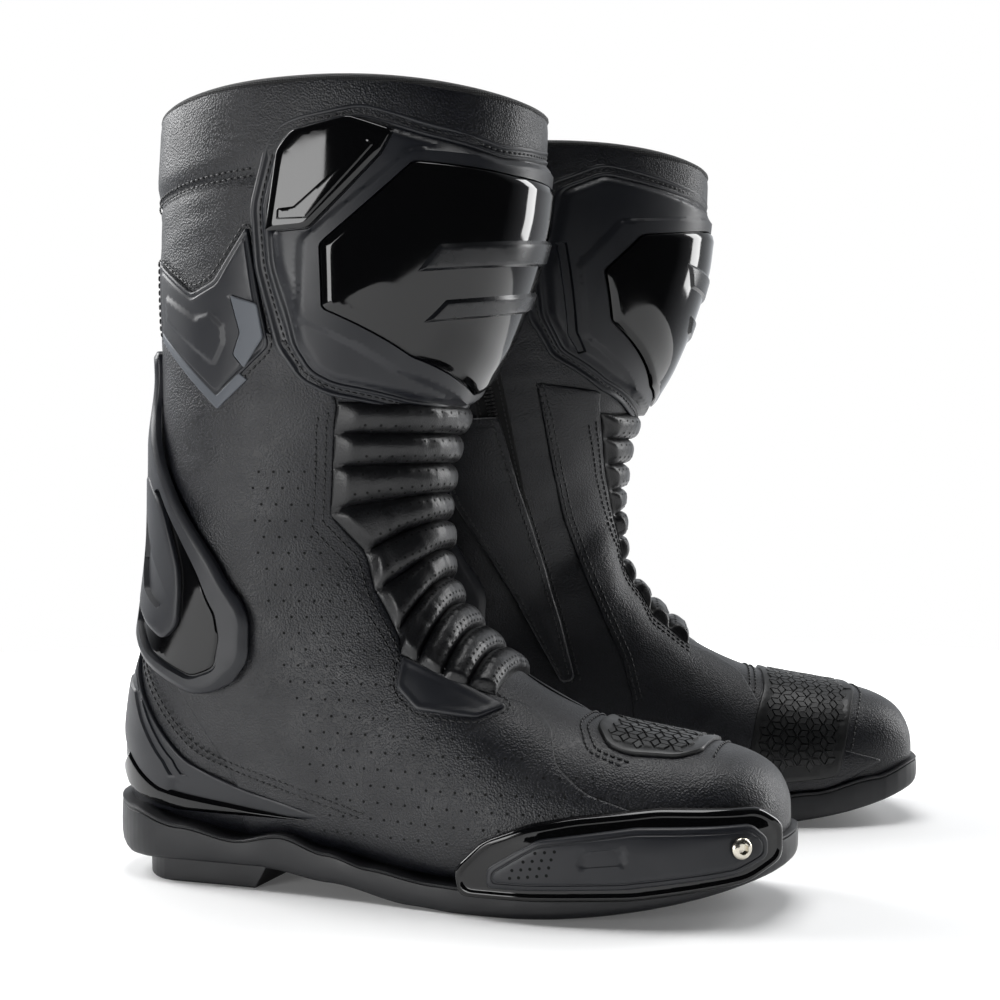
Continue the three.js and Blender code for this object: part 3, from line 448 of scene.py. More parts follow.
# %% Material helpers
def tone(value, alpha=1.0):
    parts = [int(value[i:i + 2], 16) / 255 for i in (0, 2, 4)]
    linear = [p / 12.92 if p <= 0.04045 else ((p + 0.055) / 1.055) ** 2.4 for p in parts]
    return (*linear, alpha)


def add(tree, kind, settings=None, **inputs):
    node = tree.nodes.new(kind)
    for key, value in (settings or {}).items():
        setattr(node, key, value)
    for key, value in inputs.items():
        socket = node.inputs[int(key[1:])] if key[0] == "_" else node.inputs[key.replace("_", " ")]
        if isinstance(value, bpy.types.NodeSocket):
            tree.links.new(value, socket)
        else:
            socket.default_value = value
    return node


def finish_of(name, color, roughness, ior=1.5, **inputs):
    material = bpy.data.materials.new(name)
    material.use_nodes = True
    tree = material.node_tree
    shader = tree.nodes["Principled BSDF"]
    shader.inputs["Base Color"].default_value = tone(color)
    shader.inputs["Roughness"].default_value = roughness
    shader.inputs["IOR"].default_value = ior
    for key, value in inputs.items():
        shader.inputs[key.replace("_", " ")].default_value = value
    return material, tree, shader


def in_millimetres(tree, stretch=(1, 1, 1)):
    place = add(tree, "ShaderNodeTexCoord")
    return add(tree, "ShaderNodeMapping", Vector=place.outputs["Object"],
               Scale=tuple(1000 * k for k in stretch)).outputs[0]


def bumped(tree, shader, height, depth_mm, strength=1.0):
    bump = add(tree, "ShaderNodeBump", Height=height, Distance=depth_mm / 1000, Strength=strength)
    tree.links.new(bump.outputs[0], shader.inputs["Normal"])


def ranged(tree, value, low, high, from_low=0.0, from_high=1.0):
    return add(tree, "ShaderNodeMapRange", Value=value, From_Min=from_low, From_Max=from_high,
               To_Min=low, To_Max=high).outputs[0]


def mixed(tree, share, a, b):
    return add(tree, "ShaderNodeMix", {"data_type": "RGBA"}, _0=share, _6=a, _7=b).outputs[2]


print("helpers for materials are ready")

# %% [markdown]
# Full-grain cowhide has pebbles about a millimetre across with fine creases between them. Its
# top coat is satin. The creases get a darker colour, a painted shade, and handling polishes the pebbles unevenly.

# %% Leather
def cowhide(name, pebble_mm, depth_mm, light, dark, rough_low, rough_high):
    material, tree, shader = finish_of(name, light, 0.5, 1.5)
    place = in_millimetres(tree)
    warp = add(tree, "ShaderNodeTexNoise", Vector=place, Scale=0.9, Detail=2.0)
    pull = add(tree, "ShaderNodeVectorMath", {"operation": "SCALE"}, _0=warp.outputs["Color"], Scale=0.35)
    moved = add(tree, "ShaderNodeVectorMath", {"operation": "ADD"}, _0=place, _1=pull.outputs[0])
    pebble = add(tree, "ShaderNodeTexVoronoi", {"feature": "F1"}, Vector=moved.outputs[0], Scale=1 / pebble_mm)
    pore = add(tree, "ShaderNodeTexNoise", Vector=place, Scale=2.2, Detail=3.0)
    rise = ranged(tree, pebble.outputs["Distance"], 1.0, 0.0, 0.1, 0.75)
    height = add(tree, "ShaderNodeMath", {"operation": "MULTIPLY_ADD"}, _0=pore.outputs[0], _1=0.45, _2=rise)
    bumped(tree, shader, height.outputs[0], depth_mm, 0.8)
    cloud = add(tree, "ShaderNodeTexNoise", Vector=place, Scale=0.06, Detail=4.0)
    # the colour darkens from the pebble tops into the creases: painted shade
    tree.links.new(mixed(tree, rise, tone(dark), tone(light)), shader.inputs["Base Color"])
    tree.links.new(ranged(tree, cloud.outputs[0], rough_low, rough_high, 0.3, 0.7), shader.inputs["Roughness"])
    return material


# the second colour of each leather is the painted shade in its creases
leather = cowhide("full_grain_cowhide_satin_black", 0.95, 0.16, "12141c", "07080c", 0.38, 0.50)
soft_leather = cowhide("soft_padded_leather_black", 0.9, 0.06, "121316", "0a0a0c", 0.30, 0.42)
print("leathers:", leather.name, soft_leather.name)

# %% [markdown]
# The shields are thermoplastic polyurethane. Most of it comes from a spark-eroded mould, which
# leaves a very fine texture and a satin face. The inserts come from a polished mould and shine.

# %% Moulded plastic and rubber
def moulded(name, color, rough, grain_mm, depth_mm, spread=0.06, **inputs):
    material, tree, shader = finish_of(name, color, rough, 1.5, **inputs)
    place = in_millimetres(tree)
    grain = add(tree, "ShaderNodeTexNoise", Vector=place, Scale=1 / grain_mm, Detail=2.0)
    bumped(tree, shader, grain.outputs[0], depth_mm, 0.6)
    cloud = add(tree, "ShaderNodeTexNoise", Vector=place, Scale=0.05, Detail=3.0)
    tree.links.new(ranged(tree, cloud.outputs[0], rough - spread, rough + spread, 0.3, 0.7), shader.inputs["Roughness"])
    return material


satin_tpu = moulded("polyurethane_satin_moulded_black", "13151b", 0.42, 0.35, 0.02)
gloss_tpu = moulded("polyurethane_polished_mould_black", "040405", 0.07, 14.0, 0.03, 0.02)
facet_tpu = moulded("polyurethane_satin_facet_dark_grey", "111215", 0.26, 0.4, 0.01)
sole_rubber = moulded("vulcanised_rubber_sole_black", "0f1014", 0.5, 0.5, 0.03, 0.08)
pad_rubber = moulded("vulcanised_rubber_pad_black", "0e0f10", 0.42, 0.5, 0.02, 0.06)
print("plastics:", satin_tpu.name, gloss_tpu.name, "rubbers:", sole_rubber.name)

# %% [markdown]
# The textiles are a knitted lining inside, a woven binding round the collar, and the zip's tape.
# Threads are about half a millimetre apart, drawn with two crossed wave textures. The colour between them is darker, a
# painted shade.

# %% Textiles, thread and film
def woven(name, color, dark, thread_mm, depth_mm):
    material, tree, shader = finish_of(name, color, 0.85, 1.5, Sheen_Weight=0.25, Sheen_Roughness=0.4)
    place = in_millimetres(tree)
    waves = []
    for direction in ("X", "Z"):
        waves.append(add(tree, "ShaderNodeTexWave", {"bands_direction": direction}, Vector=place,
                         Scale=0.314 / thread_mm, Distortion=1.2, Detail=2.0))
    height = add(tree, "ShaderNodeMath", {"operation": "MULTIPLY"}, _0=waves[0].outputs["Fac"],
                 _1=waves[1].outputs["Fac"])
    bumped(tree, shader, height.outputs[0], depth_mm, 0.9)
    # the colour darkens between the threads: painted shade
    tree.links.new(mixed(tree, height.outputs[0], tone(dark), tone(color)), shader.inputs["Base Color"])
    return material


# the second colour of each textile is the painted shade between its threads
lining_knit = woven("polyester_mesh_lining_black", "222326", "0b0b0c", 1.1, 0.25)
binding_tape = woven("polyester_binding_tape_black", "17181a", "0a0a0b", 0.8, 0.3)
zip_tape = woven("polyester_zip_tape_black", "141416", "090909", 0.6, 0.15)
foam_cloth = woven("footbed_textile_on_foam_black", "26272a", "101011", 0.9, 0.15)
thread = finish_of("bonded_nylon_thread_black", "121315", 0.42, 1.53)[0]
# near-black for the air holes and dimples: painted shade, on discs laid over the surface
hole_shade_black = finish_of("punched_hole_painted_shade", "030303", 0.9, 1.4)[0]
zip_teeth_plastic = finish_of("acetal_zip_teeth_black", "101012", 0.3, 1.48)[0]
film, film_tree, film_shader = finish_of("retroreflective_bead_film_grey", "50545a", 0.5, 1.5, Metallic=0.2)
beads = add(film_tree, "ShaderNodeTexVoronoi", Vector=in_millimetres(film_tree), Scale=2.0)
bumped(film_tree, film_shader, beads.outputs["Distance"], 0.02, 0.6)
print("textiles and film are ready")

# %% [markdown]
# The screw is zinc-plated steel with a faint yellow passivation. Turning marks make its highlights
# long. The shank, the board and the toe puff are hidden inside, but they still get their finishes.

# %% Metal and hidden layers
def plated(name, color, rough, turning_mm):
    material, tree, shader = finish_of(name, color, rough, Metallic=1.0)
    scratch = add(tree, "ShaderNodeTexNoise", Vector=in_millimetres(tree, (0.2, 0.2, 1)), Scale=1 / turning_mm,
                  Detail=2.0)
    tree.links.new(ranged(tree, scratch.outputs[0], rough - 0.07, rough + 0.09, 0.3, 0.7), shader.inputs["Roughness"])
    bumped(tree, shader, scratch.outputs[0], 0.008, 0.5)
    return material


screw_steel = plated("zinc_plated_steel_passivated", "d8d2c4", 0.2, 0.25)
dark_zinc = plated("blackened_zinc_diecast", "2a2a2d", 0.32, 0.4)
spring_steel = plated("spring_steel_plain", "9a9b9e", 0.3, 0.5)
fibre_board = moulded("cellulose_insole_board_tan", "8a7550", 0.85, 0.8, 0.1)
puff_sheet = moulded("thermoplastic_toe_puff_grey", "77736c", 0.6, 0.6, 0.05)
print("metals:", screw_steel.name, dark_zinc.name)

# %% [markdown]
# ## The leather skin
# The skin is one shell that follows the last from the toe to the collar. It is padded above the
# collar's seam, and soft creases run across it where the leather has been worked. It stands for
# three solids of the frame: the foot, the ankle leather and the shaft.

# %% The skin's grid
AROUND = 168
turns = 180 - np.arange(AROUND) * 360 / AROUND


def rim_height(turn):
    return 344 + 8 * np.sin(np.radians(turn)) ** 2


def even_rows(start, end, step):
    """Section values whose spacing along the outer side is even."""
    s = np.linspace(start, end, 600)
    path = (last(s, np.full(600, -90.0)) + last(s, np.zeros(600)) + last(s, np.full(600, 180.0))) / 3
    run = np.concatenate([[0], np.cumsum(np.linalg.norm(np.diff(path, axis=0), axis=1))])
    return np.interp(np.linspace(0, run[-1], int(run[-1] / step)), run, s)


def ripple(points, size, seed):
    """A soft unevenness with features about size mm long, the same on every run."""
    draw = np.random.default_rng(seed)
    total = np.zeros(len(points))
    for _ in range(7):
        way = draw.normal(size=3)
        way /= np.linalg.norm(way) * size * draw.uniform(0.7, 1.5)
        total += np.sin(points @ way * 2 * np.pi + draw.uniform(0, 6.28))
    return total / 3.5


def ring_shell(rows, cap_low, cap_high, outer, inner):
    """A closed shell round the last. rows: section values for each turn. outer and inner give the
    height of a point above the last. A capped end comes to a single point."""
    count = len(rows)
    grid_s = np.asarray(rows, float)
    grid_t = np.broadcast_to(turns, grid_s.shape)
    base = last(grid_s, grid_t)
    sheets = [off_last(grid_s, grid_t, f(base, grid_s, grid_t)).reshape(-1, 3) for f in (outer, inner)]
    index = np.arange(count * AROUND).reshape(count, AROUND)
    nxt = np.roll(index, -1, 1)
    quads = np.stack([index[:-1], nxt[:-1], nxt[1:], index[1:]], -1).reshape(-1, 4)
    offset = count * AROUND
    faces = [tuple(q) for q in quads.tolist()] + [tuple(q) for q in (quads[:, ::-1] + offset).tolist()]
    points = list(sheets)
    extra = 2 * offset
    for row, cap in ((0, cap_low), (count - 1, cap_high)):
        ring, turned = index[row].tolist(), row != 0
        if cap:
            for k, sheet in enumerate(sheets):
                points.append(sheet.reshape(count, AROUND, 3)[row].mean(0)[None])
                for j in range(AROUND):
                    f = (ring[(j + 1) % AROUND] + k * offset, ring[j] + k * offset, extra)
                    faces.append(f if bool(k) == turned else tuple(reversed(f)))
                extra += 1
        else:
            for j in range(AROUND):
                a, b = ring[j], ring[(j + 1) % AROUND]
                f = (b, a, a + offset, b + offset)
                faces.append(tuple(reversed(f)) if turned else f)
    points = np.concatenate(points)
    return points, turned_out(points, faces)


rim_s = leg_place(turns, rim_height(turns) - 3)[0]
skin_rows = even_rows(0.05, TOP, 2.6)[:, None] * (rim_s / TOP)[None, :]
print("the skin has", skin_rows.shape, "points on each face")

# %% Shaping the skin
COLLAR_SEAM = [(-180, 302), (-120, 309), (-92, 312), (0, 318), (92, 312), (120, 309), (180, 302)]


def skin_height(base, s, turn):
    z = base[..., 2]
    seam = np.interp(turn, *np.transpose(COLLAR_SEAM))
    flat = base.reshape(-1, 3)
    above = z - seam
    padding = 1.7 * smooth((above - 1) / 9) * smooth((rim_height(turn) - z) / 9 + 0.35)
    crease = -0.7 * np.exp(-((above / 2.0) ** 2))
    worn = 0.55 * ripple(flat, 34, 3).reshape(z.shape) * smooth((z - 306) / 20)
    worked = 0.28 * ripple(flat * [1, 1, 2.2], 30, 5).reshape(z.shape) * smooth((z - 60) / 40) * (z < 300)
    return np.where(z > 280, padding + crease * (z > 290) + worn, 0) + worked


skin = ring_shell(skin_rows, True, False, skin_height, lambda b, s, t: np.full(s.shape, -2.4))
build("leather_skin", skin, leather, "ankle", ["foot_upper", "ankle_leather", "shaft_upper"], 60)

# %% [markdown]
# ## Lining and rim
# A padded knit lines the boot down to the foot. It is a stuffed layer.
# A woven binding folds over the rim and closes the gap between leather and lining.

# %% Lining and binding
lining_rows = even_rows(1.4, TOP, 4.5)[:, None] * (rim_s / TOP)[None, :]
lining = ring_shell(lining_rows, True, False,
                    lambda b, s, t: np.full(s.shape, -2.9),
                    lambda b, s, t: -5.6 - 0.5 * ripple(b.reshape(-1, 3), 26, 9).reshape(s.shape))
for piece in build("knit_lining", lining, lining_knit, "ankle", ["shaft_lining"], 60):
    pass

bind_angle = np.radians(np.linspace(-75, 255, 15))
bind_rows, bind_heights = [], []
for angle in bind_angle:
    drop = 2.4 - 2.6 * math.sin(angle)
    bind_rows.append(leg_place(turns, rim_height(turns) - drop)[0])
    bind_heights.append(-2.7 + 4.3 * math.cos(angle))
bind_t = np.broadcast_to(turns, (15, AROUND))
bind_points = off_last(np.array(bind_rows), bind_t, np.array(bind_heights)[:, None] * np.ones(AROUND)).reshape(-1, 3)
bind_index = np.arange(15 * AROUND).reshape(15, AROUND)
bind_next = np.roll(bind_index, -1, 1)
below, beyond = np.roll(bind_index, -1, 0), np.roll(bind_next, -1, 0)
bind_faces = [tuple(q) for q in np.stack([bind_index, bind_next, beyond, below], -1).reshape(-1, 4).tolist()]
build("rim_binding", (bind_points, turned_out(bind_points, bind_faces)), binding_tape, "shaft",
      ["rim_binding"], 60)

# %% [markdown]
# ## The ribbed front
# Ten padded ribs let the boot bend at the ankle. Each is a cushion between two sewn channels, and
# its ends pull in to the side panels. The whole front is one padded piece.

# %% Edges of the ribbed front
FRONT_OUTER = [(127, 214), (125, 207), (119, 166), (126, 157), (131, 151), (136, 134), (149, 112), (150, 106),
               (169, 94), (189, 89), (200, 84)]
FRONT_INNER = [(142, 224), (141, 221), (145, 185), (152, 152), (159, 129), (171, 107), (189, 92), (202, 86)]


def edge_turns(line, side):
    line = np.array(line, float)
    fine = np.concatenate([line[:-1] + (line[1:] - line[:-1]) * k / 6 for k in range(6)])
    s, turn = side_place(fine[:, 0], fine[:, 1], side)
    order = np.argsort(s)
    return s[order], turn[order]


outer_s, outer_turn = edge_turns(FRONT_OUTER, -1)
inner_s, inner_turn = edge_turns(FRONT_INNER, 1)
inner_turn = np.maximum(inner_turn, 15)
FRONT_LOW, FRONT_HIGH, RIBS = 6.3, 14.6, 10
front_run = np.linspace(FRONT_LOW, FRONT_HIGH, 400)
front_line = last(front_run, np.full(400, -15.0))
front_share = np.concatenate([[0], np.cumsum(np.linalg.norm(np.diff(front_line, axis=0), axis=1))])
front_share /= front_share[-1]


def front_row(u, turn):
    """The section of a rib's row: level near the shin, and square to the foot lower down."""
    s, z = (np.interp(u, front_share, values) for values in (front_run, front_line[:, 2]))
    return s + (leg_place(turn, z)[0] - s) * smooth((z - 125) / 72)


def front_at(u, v):
    """The section and the turn at a share u up the front and v across it."""
    u, v = np.broadcast_arrays(np.asarray(u, float), v)
    ends = []
    for s_line, turn_line in ((outer_s, outer_turn), (inner_s, inner_turn)):
        turn = np.interp(np.interp(u, front_share, front_run), s_line, turn_line)
        for _ in range(5):
            turn = np.interp(front_row(u, turn), s_line, turn_line)
        ends.append(turn)
    turn = ends[0] + (ends[1] - ends[0]) * v
    return front_row(u, turn), turn


def rib_height(u, v, s, turn):
    phase = (u * RIBS) % 1
    ends = smooth(np.minimum(v, 1 - v) * 11 + 0.12)
    swell = (1 - np.abs(2 * phase - 1) ** 2.4) ** 0.75
    channel = np.exp(-((np.minimum(phase, 1 - phase) / 0.07) ** 2))
    base = off_last(s, turn, np.zeros(s.shape)).reshape(-1, 3)
    pinch = ripple(base * [1, 2.2, 0.6], 9, 12).reshape(s.shape) * (0.25 + 0.5 * np.abs(2 * phase - 1))
    return 1.5 + (4.0 * swell - 0.6 * channel) * ends + 0.42 * pinch * ends


def sheet_solid(top, bottom):
    """A closed solid between two grids of points."""
    rows, columns = top.shape[:2]
    n = rows * columns
    index = np.arange(n).reshape(rows, columns)
    quads = np.stack([index[:-1, :-1], index[:-1, 1:], index[1:, 1:], index[1:, :-1]], -1).reshape(-1, 4)
    faces = [tuple(q) for q in quads.tolist()] + [tuple(q) for q in (quads[:, ::-1] + n).tolist()]
    loop = index[0].tolist() + index[1:, -1].tolist() + index[-1, -2::-1].tolist() + index[-2:0:-1, 0].tolist()
    for a, b in zip(loop, loop[1:] + loop[:1]):
        faces.append((b, a, a + n, b + n))
    points = np.concatenate([top.reshape(-1, 3), bottom.reshape(-1, 3)])
    return points, turned_out(points, faces)


u, v = np.meshgrid(np.linspace(0, 1, RIBS * 16 + 1), np.linspace(0, 1, 84), indexing="ij")
s, turn = front_at(u, v)
front = sheet_solid(off_last(s, turn, rib_height(u, v, s, turn)), off_last(s, turn, np.full(s.shape, -0.6)))
for piece in build("ribbed_front", front, soft_leather, "ankle", ["front_accordion"], 80):
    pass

# %% [markdown]
# ## Side panels of the upper
# The outer side is one large panel with punched air holes. The inner side has a front panel and a
# seam that carries the closing flap. They are cut 1.3 mm thick, with a folded, rounded edge.

# %% Leather side panels
FOLDED_EDGE = [(0, -0.4), (0, 0.7), (0.35, 1.15), (1.0, 1.35)]
OUTER_PANEL = [(127, 216), (125, 207), (119, 166), (126, 157), (131, 151), (136, 134), (149, 112), (150, 106),
               (168, 95), (189, 89.5), (205, 84), (216, 76), (222, 62), (236, 52), (262, 44), (296, 37),
               (300, 28), (260, 20), (200, 14), (150, 15), (110, 22), (76, 22), (74, 46), (60, 66),
               (44, 88), (30, 108), (26, 150), (30, 200), (34, 240), (60, 262), (110, 240)]
INNER_PANEL = [(142, 226), (141, 221), (145, 186), (152, 153), (159, 130), (171, 109), (188, 94), (205, 86),
               (218, 78), (226, 62), (238, 50), (262, 42), (290, 34), (260, 20), (200, 14), (163, 15),
               (159, 68), (154, 86), (144, 108), (134, 131), (123, 160), (117, 185), (112, 210), (108, 230)]


def tension(lay, size, seed, amount):
    def relief(points, depth):
        base = lay(points[:, 0], points[:, 1], np.zeros(len(points)))
        return amount * ripple(base, size, seed) * smooth(depth / 8)

    return relief


outer_panel = panel(OUTER_PANEL, outside_wall, FOLDED_EDGE, 4, 3.2, tension(outside_wall, 28, 21, 0.3))
build("outer_side_panel", outer_panel, leather, "ankle", crease=50)
inner_panel = panel(INNER_PANEL, inside_wall, FOLDED_EDGE, 4, 3.2, tension(inside_wall, 28, 22, 0.3))
build("inner_side_panel", inner_panel, leather, "ankle", crease=50)

# %% [markdown]
# The closing flap turns about its sewn edge. It has a body of its own in the frame, so it rides on
# that body and never bends with the ankle.

# %% The closing flap
FLAP = [(89, 213), (99, 176), (111, 138), (121, 106), (129, 76), (122, 74), (98, 117), (68, 166), (60, 186), (60, 211)]
FLAP_EDGE = [(0, 3.6), (0.0, 4.6), (0.3, 5.3), (1.0, 5.6)]
flap = panel(FLAP, inside_wall, FLAP_EDGE, 3, 2.0,
             lambda p, depth: -0.35 * np.exp(-(((depth - 3.2) / 0.8) ** 2)) + 0.25 * smooth((depth - 4) / 6))
build("closing_flap", flap, leather, "flap", ["zip_flap"], 50)

# %% [markdown]
# ## The shin shield
# The shield is one moulding with a thin sewn flange, a raised body and two sunk beds for gloss
# inserts. Its body rises from the flange, and steps raise the crest and sink the beds.

# %% Shin shield
PIPED_EDGE = [(0, 0.2), (0, 1.3), (0.3, 1.8), (0.9, 2.0), (1.5, 1.8), (1.9, 1.3), (2.5, 1.2), (3.6, 1.2), (4.0, 1.35),
              (4.3, 1.9), (4.8, 2.15), (5.4, 2.0), (5.8, 1.6), (6.4, 1.7)]
SHIELD = [(-72, 339), (-91, 334), (-96, 326), (-100, 298), (-98, 272), (-91, 237), (-84, 224), (-74, 218),
          (-40, 211), (0, 208), (32, 216), (60, 227), (84, 243), (92, 262), (95, 288), (91, 330),
          (74, 341), (40, 333), (0, 326), (-24, 324), (-52, 331)]
MAIN_INSERT = [(-56, 314), (-80, 281), (-78, 255), (-46, 236), (0, 222), (30, 232), (64, 262),
               (70, 287), (58, 305), (20, 311), (-20, 311)]
CORNER_INSERT = [(-92, 320), (-89, 328), (-75, 333), (-63, 327), (-66, 318), (-84, 288), (-94, 287)]
SLOT = [(86.2, 300), (83.8, 300), (76.5, 256), (72, 246.5), (74, 245.5), (79, 254.5)]
CREST = [(-57, 320), (-86, 283), (-85, 250), (-50, 229), (0, 215.5), (36, 224.5), (73, 254), (79, 290), (66, 312),
         (20, 318), (-20, 318)]
BED = (0.9, 0.35)
shield = panel(SHIELD, on_leg, PIPED_EDGE, 4, 1.5, lambda p, depth: 2.3 * smooth((depth - 6.4) / 2.6), under=0.2,
               steps=[(CREST, 3, 1.2, 0.7, -0.7), (MAIN_INSERT, 2, -2.6, *BED), (CORNER_INSERT, 1.5, -1.3, *BED),
                      (SLOT, 0.5, -1.8, 0.5, -0.1)])
build("shin_shield", shield, satin_tpu, "shaft", ["shin_plate"], 40)

# %% [markdown]
# The inserts are polished. The large one has a broad bevel, and two plain slanted bars stand on it,
# so that the light breaks across it. The bars stand in for the real facets, which may be a mark.

# %% Gloss inserts
UPPER_BAR = [(-52, 270), (-46, 282), (36, 294), (30, 282)]
LOWER_BAR = [(-46, 250), (-40, 260), (22, 270), (16, 260)]
main_insert = panel(MAIN_INSERT, on_leg, [(0, 3.2), (0, 6.3), (0.3, 6.6), (2.6, 7.4), (2.9, 7.45)], 2.0, 1.8,
                    lambda p, depth: 0.9 * smooth((depth - 3) / 16))
build("shin_insert", main_insert, gloss_tpu, "shaft", ["shin_insert"], 28)
FACET_EDGE = [(0, 7.2), (0, 8.1), (1.6, 9.6), (1.8, 9.65)]
for name, corners in (("upper", UPPER_BAR), ("lower", LOWER_BAR)):
    bar = panel(corners, on_leg, FACET_EDGE, 0.5, 1.4)
    build(f"shin_{name}_bar", bar, facet_tpu, "shaft", crease=22)
corner_insert = panel(CORNER_INSERT, on_leg, [(0, 3.4), (0, 5.3), (0.3, 5.6), (1.6, 6.2), (2.0, 6.25)], 1.5, 1.6)
build("shin_corner_insert", corner_insert, gloss_tpu, "shaft", ["shin_corner_insert"], 28)
RIDGE = [(-91, 296), (-87.5, 296.5), (-69.5, 323), (-67.5, 321), (-84, 291.5), (-91, 291.5)]
ridge = panel(RIDGE, on_leg, [(0, 5.9), (0, 6.6), (0.5, 7.2), (0.7, 7.25)], 0.5, 1.6)
build("shin_corner_ridge", ridge, gloss_tpu, "shaft", crease=28)

# %% [markdown]
# ## The calf badge
# A V-shaped moulded panel on the outer calf carries a reflective strip. Its label stays blank.

# %% Calf badge and reflector
CALF = [(36, 279), (60, 263), (73, 268), (91, 290), (95, 262), (99, 239), (72, 217), (36, 247)]
REFLECTOR = [(82, 261), (95, 257), (97, 243), (87, 230), (82, 236), (86, 245)]
LABEL = [(43, 263), (62, 252), (70, 254), (77, 248), (77, 240), (71, 232), (43, 252)]


calf = panel(CALF, outside_wall, [(0, 0.1), (0, 1.4), (0.3, 1.9), (0.9, 2.1), (1.6, 1.8), (2.2, 1.75), (2.8, 2.2),
                                  (3.1, 2.25)], 2.5, 1.8,
             steps=[(LABEL, 1, 0.5, 0.3, -0.4), (REFLECTOR, 1.2, -0.6, 0.6, 0.15)])
build("calf_badge", calf, satin_tpu, "shaft", ["calf_panel"], 40)
reflector = panel(REFLECTOR, outside_wall, [(0, 1.8), (0, 2.5), (0.3, 2.8), (0.8, 2.85)], 1.2, 2.0)
build("calf_reflector", reflector, film, "shaft", ["calf_reflector"], 40)
REFLECTOR_LINE = [(38, 243.5), (72, 212.5), (88, 225), (84, 228), (72, 218.5), (38, 247.5)]
stripe = panel(REFLECTOR_LINE, outside_wall, [(0, 0.9), (0, 1.9), (0.3, 2.2), (0.7, 2.25)], 0.8, 2.0)
build("calf_reflector_line", stripe, film, "shaft", crease=40)

# %% [markdown]
# ## Ankle braces
# The braces pass over the heel counter with a clear gap, because they swing with the shaft. Each is
# a stirrup: a long stem up the back of the calf and a wide loop at the ankle with a gloss bed.

# %% Ankle braces
BRACE = [(-150, 240), (-150, 214), (-137, 189), (-123, 169), (-104, 148), (-90, 132), (-85, 121), (-85, 103),
         (-92, 88), (-101, 86), (-124, 97), (-148, 110), (-158, 130), (-163, 155), (-170, 190), (-172, 240)]
LOOP = [(-137, 177), (-130, 167), (-112, 144), (-96, 123), (-93, 112), (-94, 98), (-102, 94), (-125, 104),
        (-146, 117), (-153, 138), (-154, 166)]
STRAP = [(-148, 183), (-134, 171), (-119, 143), (-111, 117), (-117, 110), (-132, 115), (-151, 124), (-158, 140),
         (-160, 165), (-158, 183)]
SLIT = [(-155, 168), (-138, 146), (-121, 129), (-126, 123), (-143, 131), (-156, 147)]
BRACE_EDGE = [(0, 3.5), (0, 5.6), (0.3, 6.1), (2.4, 7.4), (2.8, 7.5)]


def other_side(points):
    return [(-a, b) for a, b in points]


def stem_dip(points):
    return -3.3 * smooth((points[:, 1] - 196) / 34)


brace = panel(BRACE, on_leg, BRACE_EDGE, 5, 1.6, shift=stem_dip, steps=[(LOOP, 3, -2.8, 1.2, 0.3)])
build("outer_brace", brace, satin_tpu, "shaft", ["outer_brace"], 40)
inner_brace = panel(other_side(BRACE), on_leg, BRACE_EDGE, 5, 1.6, shift=stem_dip,
                    steps=[(other_side(LOOP), 3, -2.8, 1.2, 0.3)])
build("inner_brace", inner_brace, satin_tpu, "shaft", ["inner_brace"], 40)
BED_EDGE = [(0.3, 4.6), (0.3, 5.1), (0.8, 5.5), (1.4, 5.55)]
STRAP_EDGE = [(0, 5.0), (0, 7.0), (0.4, 7.6), (1.4, 7.9)]
for name, flip, nodes in (("outer", lambda p: p, ["outer_brace_insert"]), ("inner", other_side, [])):
    bed = panel(flip(LOOP), on_leg, BED_EDGE, 3, 1.8)
    build(f"{name}_brace_bed", bed, gloss_tpu, "shaft", nodes, 28)
    strap = panel(flip(STRAP), on_leg, STRAP_EDGE, 4, 1.6, steps=[(flip(SLIT), 2, -2.3, 0.2, -0.6)])
    build(f"{name}_brace_strap", strap, satin_tpu, "shaft", crease=40)

# %% [markdown]
# ## Heel counter
# A moulded cup holds the heel. On each side it has a raised lip, a sunk panel and a slanting rib.

# %% Heel counter
COUNTER = [(-24, 107), (-38, 92), (-52, 78), (-66, 62), (-75, 48), (-76, 34), (-40, 31), (0, 38),
           (40, 31), (76, 34), (75, 48), (66, 62), (52, 78), (38, 92), (24, 107)]


HEEL_LABEL = [(18, 90), (40, 84), (61, 54), (62, 47), (54, 38), (38, 53), (22, 67)]
HEEL_LINE = [(27, 99), (29, 101), (49, 83), (67, 56), (67, 49), (65.5, 49), (65, 55), (46, 82)]
COUNTER_EDGE_SHAPE = [(0, 0.2), (0, 1.3), (0.3, 1.8), (0.9, 2.0), (1.6, 1.9)]
counter = panel(COUNTER, on_heel, COUNTER_EDGE_SHAPE, 5, 1.8,
                steps=[step for way in (1,
                                        -1) for step in (([(way * a, b) for a, b in HEEL_LABEL], 1.5, 1.0, 0.3, -0.5),
                                                            ([(way * a, b) for a, b in HEEL_LINE], 0.3, -0.8, 0.35, -0.05))])
build("heel_counter", counter, satin_tpu, "foot", ["heel_counter"], 40)
HEEL_BLADE = [(37, 57), (23, 49), (30, 40), (50, 33), (70, 33), (66, 38), (54, 43)]
for name, sign in (("outer", 1), ("inner", -1)):
    blade = panel([(sign * a, b) for a, b in HEEL_BLADE], on_heel, [(0, 1.8), (0, 2.4), (2.0, 3.9), (2.2, 3.95)], 0.6,
                  1.5)
    build(f"{name}_heel_blade", blade, gloss_tpu, "foot", crease=25)

# %% [markdown]
# ## Toe slider
# A tray is screwed along the outer edge of the toe, and a wear piece sits in it. The tray's back
# end is polished, as the light shows.

# %% Slider tray and wear piece
TRAY = [(2, 9), (0, 20), (12, 33), (28, 40), (46, 44), (78, 48), (118, 48), (130, 41), (130, 26),
        (114, 18), (70, 11), (30, 9)]
WEAR = [(14, 14), (14, 22), (34, 35), (70, 41), (114, 42), (121, 36), (121, 28), (108, 22), (66, 16), (30, 14)]


